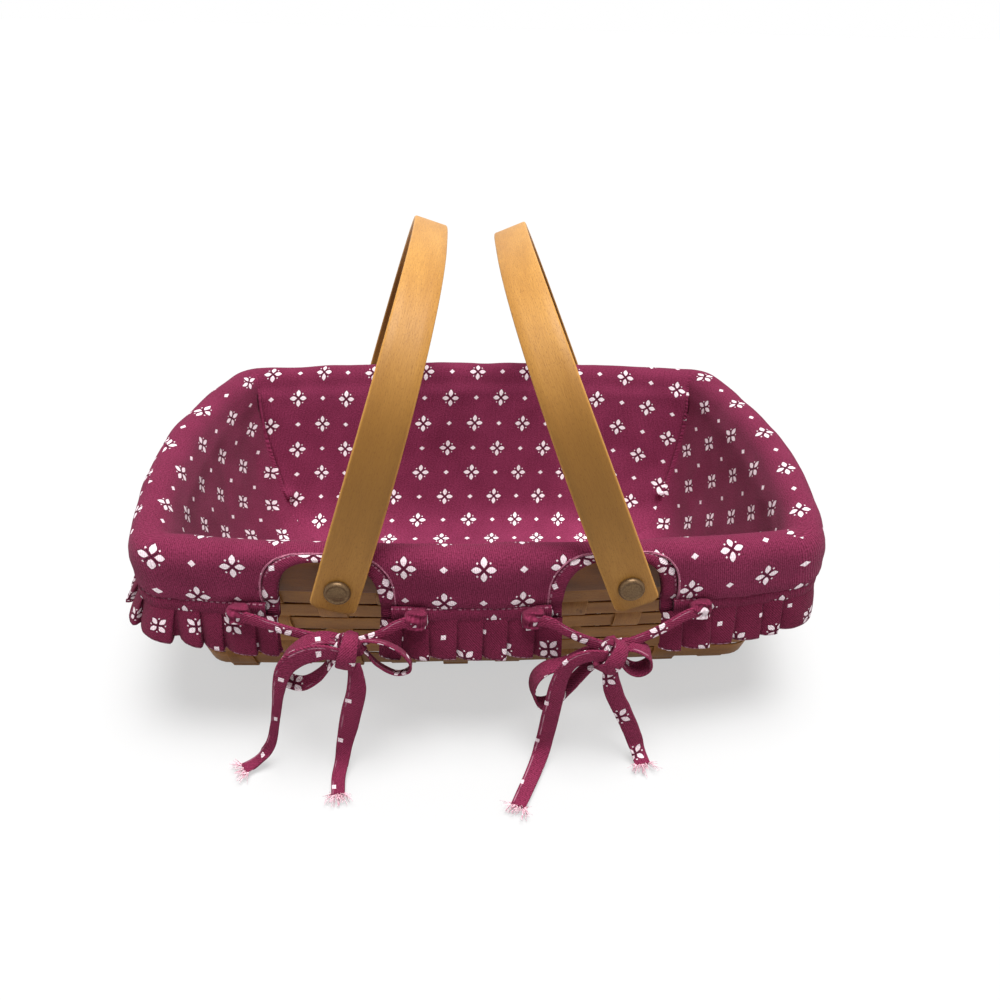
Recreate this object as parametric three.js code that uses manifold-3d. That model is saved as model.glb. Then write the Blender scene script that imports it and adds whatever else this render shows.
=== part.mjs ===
// Lined basket: flared walls woven from wooden splints, two swing handles, and a cotton liner that
// folds over the rim with a skirt, pleated ruffles and a bow in front of each handle foot.
// Millimetres, +Z up, +X along the length, origin on the floor under the middle of the base.
import * as THREE from 'three';
import { mergeVertices } from 'three/addons/utils/BufferGeometryUtils.js';
import Module from 'manifold-3d';

const wasm = await Module();
wasm.setup();

// Outline of the wall's middle, at the floor and at the rim
const baseHalfLength = 154.5;
const baseHalfWidth = 74;
const rimHalfLength = 175;
const rimHalfWidth = 116;
const rimHeight = 104;
const sideRadiusBase = 6000; // the bow of the long sides
const sideRadiusRim = 1000;
const endRadiusBase = 2500; // the bow of the ends
const endRadiusRim = 323;
const cornerRadius = 14;
const fit = 0.3; // left between pieces that touch

// Splints
const splintThickness = 1.2;
const stakeWidth = 14;
const crossStakes = 10;
const crossInsetBase = 14.75; // from the wall's end to the nearest cross stake's edge, at the base
const crossInsetRim = 26.7;
const longStakes = 5;
const longInsetBase = 15; // from the wall's side to the nearest long stake's edge, at the base
const longInsetRim = 33;
const weaverRows = 6;
const weaverGap = 1.6; // between two rows
const topRowGap = 2.9; // between the top row and the rim bands
const firstRowHeight = 5; // underside of the lowest weaver
const rimBandHeight = 24.5;
const rimBandThickness = 2.8;
const rimBandGap = 0.5; // left on each side of the stakes, which fan out between the bands

const pitchOf = (halfSpan, inset, count) => 2 * (halfSpan - inset - stakeWidth / 2) / (count - 1);
const crossPitchBase = pitchOf(baseHalfLength, crossInsetBase, crossStakes);
const crossPitchRim = pitchOf(rimHalfLength, crossInsetRim, crossStakes);
const longPitchBase = pitchOf(baseHalfWidth, longInsetBase, longStakes);
const longPitchRim = pitchOf(rimHalfWidth, longInsetRim, longStakes);

// Handles, measured from the pivot axis
const pivotHalfSpan = 67.6; // from the middle of the basket to each pivot axis
const pivotDrop = 11; // pivot axis below the rim's top edge
const pivotHeight = rimHeight - pivotDrop;
const handleClearance = 4.6; // wall's middle at the rim to the inside of the handles
const handleInnerHalfSpan = rimHalfWidth + handleClearance;
const handleThickness = 4;
const handleReach = 138; // pivot axis to the top of the hoop
const handleFootWidth = 21.8;
const handleCrownWidth = 18.2;
const handleFootLength = 12;
const handleFootCorner = 3;
const handleEdge = 1.1; // rounded edge of the strip
const handleSquareness = 2.7; // power of the hoop's superellipse
const handleTangentShare = 0.25; // of a step, to each side of a point, to find its direction
const leanLeft = THREE.MathUtils.degToRad(17.8);
const leanRight = THREE.MathUtils.degToRad(-22);

// Rivets and washers
const shankRadius = 2.5;
const headRadius = 6.2;
const headHeight = 2.4;
const headRimHeight = 1.3;
const headDishRadius = 4.9;
const headDishDepth = 0.35;
const peenHeight = 0.4; // shank that stands out of the burr
const burrRadius = 4.6;
const burrThickness = 1;
const spacerRadius = 6;
const boreLength = 4 * rimHalfWidth;
const roundSteps = 12;

// Liner
const clothThickness = 1;
const tubGapWall = 6; // wall's middle to the cloth inside it
const tubGapRim = 11.5;
const tubFloorHeight = 4.8;
const tubFloorInset = 12.5;
const tubCornerHeight = 12;
const tubCornerShares = { out: 0.4, up: 0.2 }; // the point between the floor and the wall
const crestHeight = 3.8; // cloth's outer face over the rim's top edge
const crestGap = 0.6; // where the tub ends and the skirt begins
const skirtTight = 5.4; // wall's middle to the skirt's face in an arch
const skirtPuff = 2.3; // how far the skirt stands out between the arches
const puffRun = 26; // how far from an arch the skirt takes to stand out fully
const skirtStep = 22; // between two rings of the skirt
const skirtDropShare = 0.3; // of the skirt's height, where it is down to its full puff
const skirtDrop = 23.5; // from the rim's top edge to the skirt's bottom
const linerOffset = 6.2; // how far the liner lies off centre, to the left
const archHalfSpan = 66.8; // from the liner's middle to each arch's middle
const archHalfWidth = 24;
const archDrop = 2.5; // from the rim's top edge to the arches' top
const archSquareness = 4;
const skirtBottom = rimHeight - skirtDrop;
const archTop = rimHeight - archDrop;
const casingHeight = 7;
const casingThickness = 2.2;
const casingSwell = 0.55;
const casingOffset = 9.4; // wall's middle to the casing's outer face
const ruffleHeight = 19.5;
const ruffleThickness = 1.2;
const ruffleTopOffset = 8.6;
const ruffleFlare = 1.4; // how far the hem stands out past the top
const pleatPitch = 12.7;
const pleatDepthTop = 0.6;
const pleatDepthHem = 3.4;
const pleatFoldShare = 0.84; // of a pleat's pitch, before it folds back

// Ties
const tieWidth = 7;
const tieThickness = 1.8;
const tailRadius = 3;
const tailSides = 8;
const leadRun = 9; // how far a lead starts past the arch's edge
const leadHalfWidth = 2.3;
const leadMiddleShares = { along: 0.5, out: 0.6, up: 0.55 };
const knotHalfWidth = 7;
const knotHalfDepth = 4;
const knotHalfHeight = 8;
const knotSides = 10;
const leftKnotInset = 4.2; // from a pivot inward to its knot's middle
const rightKnotInset = 7.3;
const leftKnotDrop = 35; // from the rim's top edge to a knot's middle
const rightKnotDrop = 40.5;
const knotClearance = 18; // wall's middle at the rim to the knots' middle
const knotOutset = rimHalfWidth + knotClearance;
const loopDepth = 6.5;
const leadSink = 2.7; // how far behind the knots' middle the leads come in
const leadOutset = knotOutset - leadSink;
const tailLift = 0.4; // left under a tail on the floor

const wood = (color) => new THREE.MeshStandardMaterial({ color, roughness: 0.55, metalness: 0 });
const cloth = (color) => new THREE.MeshStandardMaterial({ color, roughness: 0.9, metalness: 0 });
const metal = (color) => new THREE.MeshStandardMaterial({ color, roughness: 0.45, metalness: 0.8 });
const splintColour = 0xb98a4f;
const bandColour = 0x9a6a35;
const handleColour = 0xc89352;
const rivetColour = 0x7a6146;
const linerColour = 0x79304a;
const ruffleColour = 0x65202f;
const tieColour = 0x7c3146;

const basket = new THREE.Group();
const mix = THREE.MathUtils.lerp;

function add(parent, name, geometry, material) {
  const mesh = new THREE.Mesh(geometry, material);
  mesh.name = name;
  parent.add(mesh);
  return mesh;
}

// Arcs of a bowed rectangle, counter-clockwise from the middle of the front
function outline(halfLength, halfWidth, sideRadius, endRadius) {
  const side = new THREE.Vector2(0, halfWidth - sideRadius);
  const end = new THREE.Vector2(halfLength - endRadius, 0);
  const toSide = sideRadius - cornerRadius;
  const toEnd = endRadius - cornerRadius;
  const between = end.clone().sub(side);
  const apart = between.length();
  const along = (toSide ** 2 - toEnd ** 2 + apart ** 2) / (2 * apart);
  const across = Math.sqrt(toSide ** 2 - along ** 2);
  between.normalize();
  const normal = new THREE.Vector2(-between.y, between.x);
  if (normal.x < 0) normal.negate();
  const corner = side.clone().addScaledVector(between, along).addScaledVector(normal, across);
  const sideSweep = Math.PI / 2 - corner.clone().sub(side).angle();
  const endSweep = corner.clone().sub(end).angle();
  const cornerSweep = Math.PI / 2 - sideSweep - endSweep;
  const arcs = [];
  let start = -Math.PI / 2;
  const push = (x, y, radius, sweep) => {
    arcs.push({ x, y, radius, start, sweep, length: radius * sweep });
    start += sweep;
  };
  push(0, -side.y, sideRadius, sideSweep);
  push(corner.x, -corner.y, cornerRadius, cornerSweep);
  push(end.x, 0, endRadius, 2 * endSweep);
  push(corner.x, corner.y, cornerRadius, cornerSweep);
  push(0, side.y, sideRadius, 2 * sideSweep);
  push(-corner.x, corner.y, cornerRadius, cornerSweep);
  push(-end.x, 0, endRadius, 2 * endSweep);
  push(-corner.x, -corner.y, cornerRadius, cornerSweep);
  push(0, -side.y, sideRadius, sideSweep);
  return arcs;
}

// A point of an outline, pushed out by an offset; a stop is [which arc, share of it]
function onOutline(arcs, [index, share], offset, z) {
  const arc = arcs[index];
  const angle = arc.start + share * arc.sweep;
  const radius = arc.radius + offset;
  return new THREE.Vector3(arc.x + radius * Math.cos(angle), arc.y + radius * Math.sin(angle), z);
}

function stopAt(arcs, distance) {
  let left = distance;
  for (let index = 0; index < arcs.length - 1; index++) {
    if (left <= arcs[index].length) return [index, left / arcs[index].length];
    left -= arcs[index].length;
  }
  return [arcs.length - 1, left / arcs[arcs.length - 1].length];
}

const levelShare = (z) => Math.min(z / rimHeight, 1);
const bow = (baseRadius, rimRadius, z) => 1 / mix(1 / baseRadius, 1 / rimRadius, levelShare(z));
const halfLengthAt = (z) => mix(baseHalfLength, rimHalfLength, levelShare(z));
const halfWidthAt = (z) => mix(baseHalfWidth, rimHalfWidth, levelShare(z));
const sideRadiusAt = (z) => bow(sideRadiusBase, sideRadiusRim, z);
const endRadiusAt = (z) => bow(endRadiusBase, endRadiusRim, z);
const wallAt = (z) => outline(halfLengthAt(z), halfWidthAt(z), sideRadiusAt(z), endRadiusAt(z));
const rimOutline = wallAt(rimHeight);
const rimLength = rimOutline.reduce((sum, arc) => sum + arc.length, 0);

// Stops right round an outline, with a count of steps for each kind of arc
const sideSteps = 5;
const cornerSteps = 3;
const endSteps = 10;
const arcSteps = [
  sideSteps, cornerSteps, endSteps, cornerSteps, 2 * sideSteps, cornerSteps, endSteps, cornerSteps,
  sideSteps,
];
const loopStops = arcSteps.flatMap((steps, index) =>
  Array.from({ length: steps }, (_, step) => [index, step / steps]));

// A closed body skinned over rings of points; open rows of rings get flat ends
function loft(rings, closed) {
  const count = rings[0].length;
  const positions = rings.flat().flatMap((point) => [point.x, point.y, point.z]);
  const index = [];
  const spans = closed ? rings.length : rings.length - 1;
  for (let ring = 0; ring < spans; ring++) {
    const here = ring * count;
    const next = ((ring + 1) % rings.length) * count;
    for (let step = 0; step < count; step++) {
      const turn = (step + 1) % count;
      index.push(here + step, next + step, next + turn, here + step, next + turn, here + turn);
    }
  }
  for (const ring of closed ? [] : [0, rings.length - 1]) {
    const middle = positions.length / 3;
    const centre = new THREE.Vector3();
    for (const point of rings[ring]) centre.addScaledVector(point, 1 / count);
    positions.push(centre.x, centre.y, centre.z);
    for (let step = 0; step < count; step++) {
      const here = ring * count + step;
      const turn = ring * count + ((step + 1) % count);
      index.push(middle, ...(ring === 0 ? [here, turn] : [turn, here]));
    }
  }
  const geometry = new THREE.BufferGeometry();
  geometry.setAttribute('position', new THREE.Float32BufferAttribute(positions, 3));
  geometry.setIndex(facingOut(positions, index));
  return geometry;
}

// Turns every face round where they enclose a negative volume
function facingOut(positions, index) {
  let volume = 0;
  const corner = (i) => new THREE.Vector3().fromArray(positions, 3 * index[i]);
  for (let i = 0; i < index.length; i += 3) {
    volume += corner(i).dot(corner(i + 1).cross(corner(i + 2)));
  }
  if (volume > 0) return index;
  const turned = [];
  for (let i = 0; i < index.length; i += 3) turned.push(index[i], index[i + 2], index[i + 1]);
  return turned;
}

function toSolid(geometry) {
  const bare = geometry.clone();
  bare.deleteAttribute('normal');
  bare.deleteAttribute('uv');
  const merged = mergeVertices(bare);
  return new wasm.Manifold(new wasm.Mesh({
    numProp: 3,
    vertProperties: new Float32Array(merged.attributes.position.array),
    triVerts: new Uint32Array(merged.index.array),
  }));
}

function toGeometry(solid) {
  const { vertProperties, triVerts } = solid.getMesh();
  const geometry = new THREE.BufferGeometry();
  geometry.setAttribute('position', new THREE.BufferAttribute(vertProperties, 3));
  geometry.setIndex(new THREE.BufferAttribute(triVerts, 1));
  return geometry;
}

// Woven body. A splint's section is [inner face, outer face], measured from the wall's middle.
const half = splintThickness / 2;
const lift = splintThickness + fit; // from one layer of splints to the next
const baseLevel = half + lift; // cross stakes lie between the two passes of the long ones
const rimBandBottom = rimHeight - rimBandHeight;
const weaverPitch = (rimBandBottom - topRowGap + weaverGap - firstRowHeight) / weaverRows;
const weaverHeight = weaverPitch - weaverGap;
const rimBandInner = half + rimBandGap;
const rimBandOuter = rimBandInner + rimBandThickness;
const stakeTop = rimHeight - fit;

const sideReach = (z, x, offset) =>
  halfWidthAt(z) - sideRadiusAt(z) + Math.sqrt((sideRadiusAt(z) + offset) ** 2 - x ** 2);
const endReach = (z, y, offset) =>
  halfLengthAt(z) - endRadiusAt(z) + Math.sqrt((endRadiusAt(z) + offset) ** 2 - y ** 2);

// Stations up one wall: [height, offset of the splint's middle]; passes says which side of each row
function wallStations(outsideFirst) {
  const stations = [];
  for (let row = 0; row < weaverRows; row++) {
    const offset = (row % 2 === 0) === outsideFirst ? lift : -lift;
    const low = firstRowHeight + row * weaverPitch;
    stations.push([low, offset], [low + weaverHeight, offset]);
  }
  stations.push([rimBandBottom - fit, 0], [stakeTop, 0]);
  return stations;
}

// A stake's half: out along the base at the given levels, round the corner and up the wall.
// place(reach, z, across, offset) puts a point on the wall or base; reach is null on the wall.
function stakeHalf(place, baseLevels, outsideFirst) {
  const rings = [];
  const ring = (inner, outer) => {
    rings.push([inner(-1), inner(1), outer(1), outer(-1)]);
  };
  for (const [reach, level] of baseLevels) {
    ring((s) => place(reach, level + half, s, 0), (s) => place(reach, level - half, s, 0));
  }
  const [, lastLevel] = baseLevels[baseLevels.length - 1];
  const [, firstOffset] = wallStations(outsideFirst)[0];
  ring(
    (s) => place(null, lastLevel + half, s, firstOffset - half),
    (s) => place(null, lastLevel - half, s, firstOffset + half),
  );
  for (const [z, offset] of wallStations(outsideFirst)) {
    ring((s) => place(null, z, s, offset - half), (s) => place(null, z, s, offset + half));
  }
  return rings;
}

function stake(placeFor, levelsFor, passesFor) {
  const back = stakeHalf(placeFor(-1), levelsFor(-1), passesFor(-1)).reverse();
  const front = stakeHalf(placeFor(1), levelsFor(1), passesFor(1));
  return loft([...back, ...front], false);
}

function crossStake(number) {
  const slot = number - (crossStakes - 1) / 2;
  const at = (z, s) => slot * mix(crossPitchBase, crossPitchRim, levelShare(z)) + s * stakeWidth / 2;
  const placeFor = (direction) => (reach, z, s, offset) => {
    const x = at(z, s);
    return new THREE.Vector3(x, direction * (reach ?? sideReach(z, x, offset)), z);
  };
  const levelsFor = () => [[stakeWidth / 2, baseLevel]];
  const geometry = stake(placeFor, levelsFor, () => number % 2 === 0);
  add(basket, `cross_stake_${number + 1}`, geometry, wood(splintColour));
}

function longStake(number) {
  const slot = number - (longStakes - 1) / 2;
  const at = (z, s) => slot * mix(longPitchBase, longPitchRim, levelShare(z)) + s * stakeWidth / 2;
  const placeFor = (direction) => (reach, z, s, offset) => {
    const y = at(z, s);
    return new THREE.Vector3(direction * (reach ?? endReach(z, y, offset)), y, z);
  };
  // It passes over and under the cross stakes of the base in turn
  const levelsFor = (direction) => {
    const levels = [];
    for (let pass = 0; pass < crossStakes / 2; pass++) {
      const reach = (pass + 0.5) * crossPitchBase;
      const under = (pass + number + (direction > 0 ? 0 : 1)) % 2 === 0;
      const level = under ? baseLevel - lift : baseLevel + lift;
      levels.push([reach - stakeWidth / 2 - fit, level], [reach + stakeWidth / 2 + fit, level]);
    }
    return levels;
  };
  const geometry = stake(placeFor, levelsFor, () => number % 2 === 0);
  add(basket, `long_stake_${number + 1}`, geometry, wood(splintColour));
}

// A band right round the wall between two heights and two offsets
function band(low, high, inner, outer) {
  const lowArcs = wallAt(low);
  const highArcs = wallAt(high);
  return loft(loopStops.map((stop) => [
    onOutline(lowArcs, stop, inner, low),
    onOutline(lowArcs, stop, outer, low),
    onOutline(highArcs, stop, outer, high),
    onOutline(highArcs, stop, inner, high),
  ]), true);
}

function weaver(row) {
  const low = firstRowHeight + row * weaverPitch;
  const geometry = band(low, low + weaverHeight, -half, half);
  add(basket, `weaver_${row + 1}`, geometry, wood(splintColour));
}

// A bore right through along Y
function boreTool(x, z) {
  const radius = shankRadius + fit;
  const bore = new THREE.CylinderGeometry(radius, radius, boreLength, roundSteps);
  bore.translate(x, 0, z);
  return toSolid(bore);
}

function boredBand(inner, outer) {
  let solid = toSolid(band(rimBandBottom, rimHeight, inner, outer));
  for (const x of [-pivotHalfSpan, pivotHalfSpan]) solid = solid.subtract(boreTool(x, pivotHeight));
  return toGeometry(solid);
}

for (let number = 0; number < crossStakes; number++) crossStake(number);
for (let number = 0; number < longStakes; number++) longStake(number);
for (let row = 0; row < weaverRows; row++) weaver(row);
add(basket, 'outer_rim_band', boredBand(rimBandInner, rimBandOuter), wood(bandColour));
add(basket, 'inner_rim_band', boredBand(-rimBandOuter, -rimBandInner), wood(bandColour));

// A handle: a strip bent into a hoop, in its own frame with the pivot axis on Y
const handleOuterHalfSpan = handleInnerHalfSpan + handleThickness;
const handleSteps = 24;

function hoopPoint(share) {
  const angle = Math.PI * share;
  const span = handleInnerHalfSpan + handleThickness / 2;
  const reach = handleReach - handleThickness / 2;
  const sum = Math.abs(Math.cos(angle) / span) ** handleSquareness
    + Math.abs(Math.sin(angle) / reach) ** handleSquareness;
  const radius = sum ** (-1 / handleSquareness);
  return new THREE.Vector2(radius * Math.cos(angle), radius * Math.sin(angle));
}

function handleRing(middle, normal, width) {
  const w = width / 2;
  const t = handleThickness / 2;
  const section = [
    [w - handleEdge, t], [w, t - handleEdge], [w, handleEdge - t], [w - handleEdge, -t],
    [handleEdge - w, -t], [-w, handleEdge - t], [-w, t - handleEdge], [handleEdge - w, t],
  ];
  return section.map(([across, out]) =>
    new THREE.Vector3(across, middle.x + out * normal.x, middle.y + out * normal.y));
}

function handle(name, x, lean) {
  const rings = [];
  const foot = (side) => {
    const span = side * (handleInnerHalfSpan + handleThickness / 2);
    const normal = new THREE.Vector2(side, 0);
    const narrow = handleFootWidth - 2 * handleFootCorner;
    return [
      handleRing(new THREE.Vector2(span, -handleFootLength), normal, narrow),
      handleRing(new THREE.Vector2(span, handleFootCorner - handleFootLength), normal, handleFootWidth),
    ];
  };
  rings.push(...foot(1));
  for (let step = 0; step <= handleSteps; step++) {
    const share = step / handleSteps;
    const tiny = handleTangentShare / handleSteps;
    const ahead = hoopPoint(Math.min(share + tiny, 1));
    const tangent = ahead.sub(hoopPoint(Math.max(share - tiny, 0))).normalize();
    const normal = new THREE.Vector2(tangent.y, -tangent.x);
    const width = mix(handleFootWidth, handleCrownWidth, Math.sin(Math.PI * share) ** 2);
    rings.push(handleRing(hoopPoint(share), normal, width));
  }
  rings.push(...foot(-1).reverse());
  const solid = toSolid(loft(rings, false)).subtract(boreTool(0, 0));
  const mesh = add(basket, name, toGeometry(solid), wood(handleColour));
  mesh.position.set(x, 0, pivotHeight);
  mesh.rotation.y = lean;
}

handle('handle_left', -pivotHalfSpan, leanLeft);
handle('handle_right', pivotHalfSpan, leanRight);

// Rivet, burr and spacer of one pivot, made at the back and turned round for the front
function turned(profile, x) {
  const geometry = new THREE.LatheGeometry(profile.map(([r, y]) => new THREE.Vector2(r, y)), roundSteps);
  geometry.translate(x, 0, pivotHeight);
  return geometry;
}

// Moves the ends of a ring along Y, so that they follow the sloping rim band
function followBand(geometry, innerOffset, outerOffset) {
  const place = geometry.attributes.position;
  for (let i = 0; i < place.count; i++) {
    const follow = place.getY(i) < 0 ? innerOffset : outerOffset;
    if (follow !== null) {
      place.setY(i, sideReach(place.getZ(i), place.getX(i), follow));
    } else {
      place.setY(i, handleInnerHalfSpan - fit);
    }
  }
  return geometry;
}

// A washer before followBand gives its two faces, at -1 and 1 here, their places
function ringProfile(radius) {
  const inner = shankRadius + fit;
  return [[inner, -1], [radius, -1], [radius, 1], [inner, 1], [inner, -1]];
}

function closedBody(geometry) {
  geometry.deleteAttribute('normal');
  geometry.deleteAttribute('uv');
  const merged = mergeVertices(geometry);
  merged.setIndex(facingOut(merged.attributes.position.array, Array.from(merged.index.array)));
  return merged;
}

function pivot(place, x, turn) {
  const burrOuter = -rimBandOuter - fit;
  const burrInner = burrOuter - burrThickness;
  const shankEnd = sideReach(pivotHeight, x, burrInner - peenHeight);
  const seat = handleOuterHalfSpan + fit;
  const rivet = turned([
    [0, shankEnd], [shankRadius, shankEnd], [shankRadius, seat], [headRadius, seat],
    [headRadius, seat + headRimHeight], [headDishRadius, seat + headHeight],
    [headDishRadius - headDishDepth, seat + headHeight - headDishDepth], [0, seat + headHeight],
  ], x);
  const burr = followBand(turned(ringProfile(burrRadius), x), burrInner, burrOuter);
  const spacer = followBand(turned(ringProfile(spacerRadius), x), rimBandOuter + fit, null);
  add(basket, `rivet_${place}`, closedBody(rivet), metal(rivetColour)).rotation.z = turn;
  add(basket, `burr_${place}`, closedBody(burr), metal(rivetColour)).rotation.z = turn;
  add(basket, `spacer_${place}`, closedBody(spacer), wood(bandColour)).rotation.z = turn;
}

pivot('back_left', -pivotHalfSpan, 0);
pivot('back_right', pivotHalfSpan, 0);
pivot('front_left', pivotHalfSpan, Math.PI);
pivot('front_right', -pivotHalfSpan, Math.PI);

// Liner tub: one cloth over the base, up the walls inside and onto the rim's crest
// Points of a profile [offset, height] moved square to it by a thickness, to its left
function thickened(profile, thickness) {
  return profile.map((point, i) => {
    const before = profile[Math.max(i - 1, 0)];
    const after = profile[Math.min(i + 1, profile.length - 1)];
    const run = new THREE.Vector2(after[0] - before[0], after[1] - before[1]).normalize();
    return [point[0] - run.y * thickness, point[1] + run.x * thickness];
  });
}

function linerTub() {
  const cornerRise = tubCornerHeight - tubFloorHeight;
  const below = crestHeight - clothThickness;
  const under = [
    [-tubFloorInset, tubFloorHeight],
    [
      -mix(tubGapWall, tubFloorInset, tubCornerShares.out),
      tubFloorHeight + cornerRise * tubCornerShares.up,
    ],
    [-tubGapWall, tubCornerHeight],
    [-tubGapRim, rimBandBottom],
    [-tubGapRim, rimHeight - 2 * below],
    [-tubGapRim + below, rimHeight],
    [-rimBandOuter, rimHeight + below],
    [-crestGap, rimHeight + below],
  ];
  const over = thickened(under, clothThickness);
  over[0] = [under[0][0], tubFloorHeight + clothThickness];
  over[over.length - 1][0] = under[under.length - 1][0];
  const ringAt = ([offset, z]) => {
    const arcs = wallAt(z);
    return loopStops.map((stop) => onOutline(arcs, stop, offset, z));
  };
  const rings = [...over.map(ringAt), ...under.map(ringAt).reverse()];
  add(basket, 'liner_tub', loft(rings, false), cloth(linerColour));
}

// Skirt: from the crest over the rim and down to the casings, with an arch over each handle foot.
// Distances run round the rim's outline from the middle of the front.
const halfLoop = rimLength / 2;
const alongSide = (x) => sideRadiusRim * Math.asin(x / sideRadiusRim);
const archRight = alongSide(archHalfSpan - linerOffset);
const archLeft = alongSide(-archHalfSpan - linerOffset);
const archMiddles = [archRight, halfLoop - archRight, halfLoop - archLeft, rimLength + archLeft];
const archShares = [-1, -0.98, -0.9, -0.68, 0, 0.68, 0.9, 0.98, 1];

function skirtShape(distance) {
  const fromStart = distance + rimLength + halfLoop;
  const apart = (middle) => Math.abs(((fromStart - middle) % rimLength) - halfLoop);
  const toArch = Math.min(...archMiddles.map(apart));
  const share = Math.min(toArch / archHalfWidth, 1);
  const rise = (1 - share ** archSquareness) ** (1 / archSquareness);
  const away = Math.min(Math.max(toArch - archHalfWidth, 0) / puffRun, 1);
  return { bottom: mix(skirtBottom, archTop, rise), puff: skirtPuff * away * (2 - away) };
}

function skirtRing(distance) {
  const { bottom, puff } = skirtShape(distance);
  const stop = stopAt(rimOutline, distance);
  const top = rimHeight + crestHeight;
  const shoulder = skirtTight - clothThickness + puff / 2;
  const outer = [
    [crestGap - fit, top],
    [shoulder - clothThickness, top - clothThickness / 2],
    [shoulder + clothThickness / 2, rimHeight + clothThickness / 2],
    [skirtTight + puff, mix(rimHeight, bottom, skirtDropShare)],
    [skirtTight + puff, bottom],
  ];
  const inner = thickened(outer, -clothThickness);
  inner[0][0] = outer[0][0];
  inner[inner.length - 1][1] = outer[outer.length - 1][1];
  return [...outer, ...inner.reverse()].map(([offset, z]) => onOutline(rimOutline, stop, offset, z));
}

// Distances between two arches, with stops at every arc's ends and evenly between
function distancesBetween(from, to, step) {
  const marks = [from, to];
  let sum = 0;
  for (const arc of rimOutline) {
    sum += arc.length;
    if (sum > from && sum < to) marks.push(sum);
  }
  marks.sort((a, b) => a - b);
  const distances = [from];
  for (let i = 1; i < marks.length; i++) {
    const span = marks[i] - marks[i - 1];
    const middle = stopAt(rimOutline, (marks[i] + marks[i - 1]) / 2)[0];
    const wanted = rimOutline[middle].radius === cornerRadius ? cornerRadius / cornerSteps : step;
    const count = Math.max(Math.round(span / wanted), 1);
    for (let part = 1; part <= count; part++) distances.push(mix(marks[i - 1], marks[i], part / count));
  }
  return distances;
}

// The four stretches of hanging cloth between the arches: [name, from, to]
const stretches = [
  ['front', archMiddles[3] + archHalfWidth, rimLength + archMiddles[0] - archHalfWidth],
  ['right', archMiddles[0] + archHalfWidth, archMiddles[1] - archHalfWidth],
  ['back', archMiddles[1] + archHalfWidth, archMiddles[2] - archHalfWidth],
  ['left', archMiddles[2] + archHalfWidth, archMiddles[3] - archHalfWidth],
];

function linerSkirt() {
  const distances = [];
  for (const [, from, to] of stretches) {
    distances.push(...distancesBetween(from, to, skirtStep).slice(0, -1));
    for (const share of archShares.slice(0, -1)) distances.push(to + archHalfWidth * (1 + share));
  }
  const rings = distances.map((distance) => skirtRing(distance % rimLength));
  add(basket, 'liner_skirt', loft(rings, true), cloth(linerColour));
}

// Casing: the stitched channel under the skirt, which the ties run in
const casingTop = skirtBottom - fit;
const casingBottom = casingTop - casingHeight;

function casing([name, from, to]) {
  const rings = distancesBetween(from, to, skirtStep).map((distance) => {
    const stop = stopAt(rimOutline, distance % rimLength);
    const inner = casingOffset - casingThickness;
    return [
      onOutline(rimOutline, stop, inner, casingBottom),
      onOutline(rimOutline, stop, casingOffset - casingSwell, casingBottom),
      onOutline(rimOutline, stop, casingOffset, (casingTop + casingBottom) / 2),
      onOutline(rimOutline, stop, casingOffset - casingSwell, casingTop),
      onOutline(rimOutline, stop, inner, casingTop),
    ];
  });
  add(basket, `casing_${name}`, loft(rings, false), cloth(linerColour));
}

// Ruffle: knife pleats that open towards the hem
function ruffle([name, from, to]) {
  const pleats = Math.round((to - from) / pleatPitch);
  const top = casingBottom - fit;
  const ringAt = (distance, fold) => {
    const stop = stopAt(rimOutline, distance % rimLength);
    const topOffset = ruffleTopOffset + fold * pleatDepthTop;
    const hemOffset = ruffleTopOffset + ruffleFlare + fold * pleatDepthHem;
    return [
      onOutline(rimOutline, stop, topOffset - ruffleThickness, top),
      onOutline(rimOutline, stop, topOffset, top),
      onOutline(rimOutline, stop, hemOffset, top - ruffleHeight),
      onOutline(rimOutline, stop, hemOffset - ruffleThickness, top - ruffleHeight),
    ];
  };
  const rings = [];
  for (let pleat = 0; pleat < pleats; pleat++) {
    const start = mix(from, to, pleat / pleats);
    const end = mix(from, to, (pleat + pleatFoldShare) / pleats);
    rings.push(ringAt(start, 0), ringAt(end, 1));
  }
  rings.push(ringAt(to, 0));
  add(basket, `ruffle_${name}`, loft(rings, false), cloth(ruffleColour));
}

linerTub();
linerSkirt();
stretches.forEach(casing);
stretches.forEach(ruffle);

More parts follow.
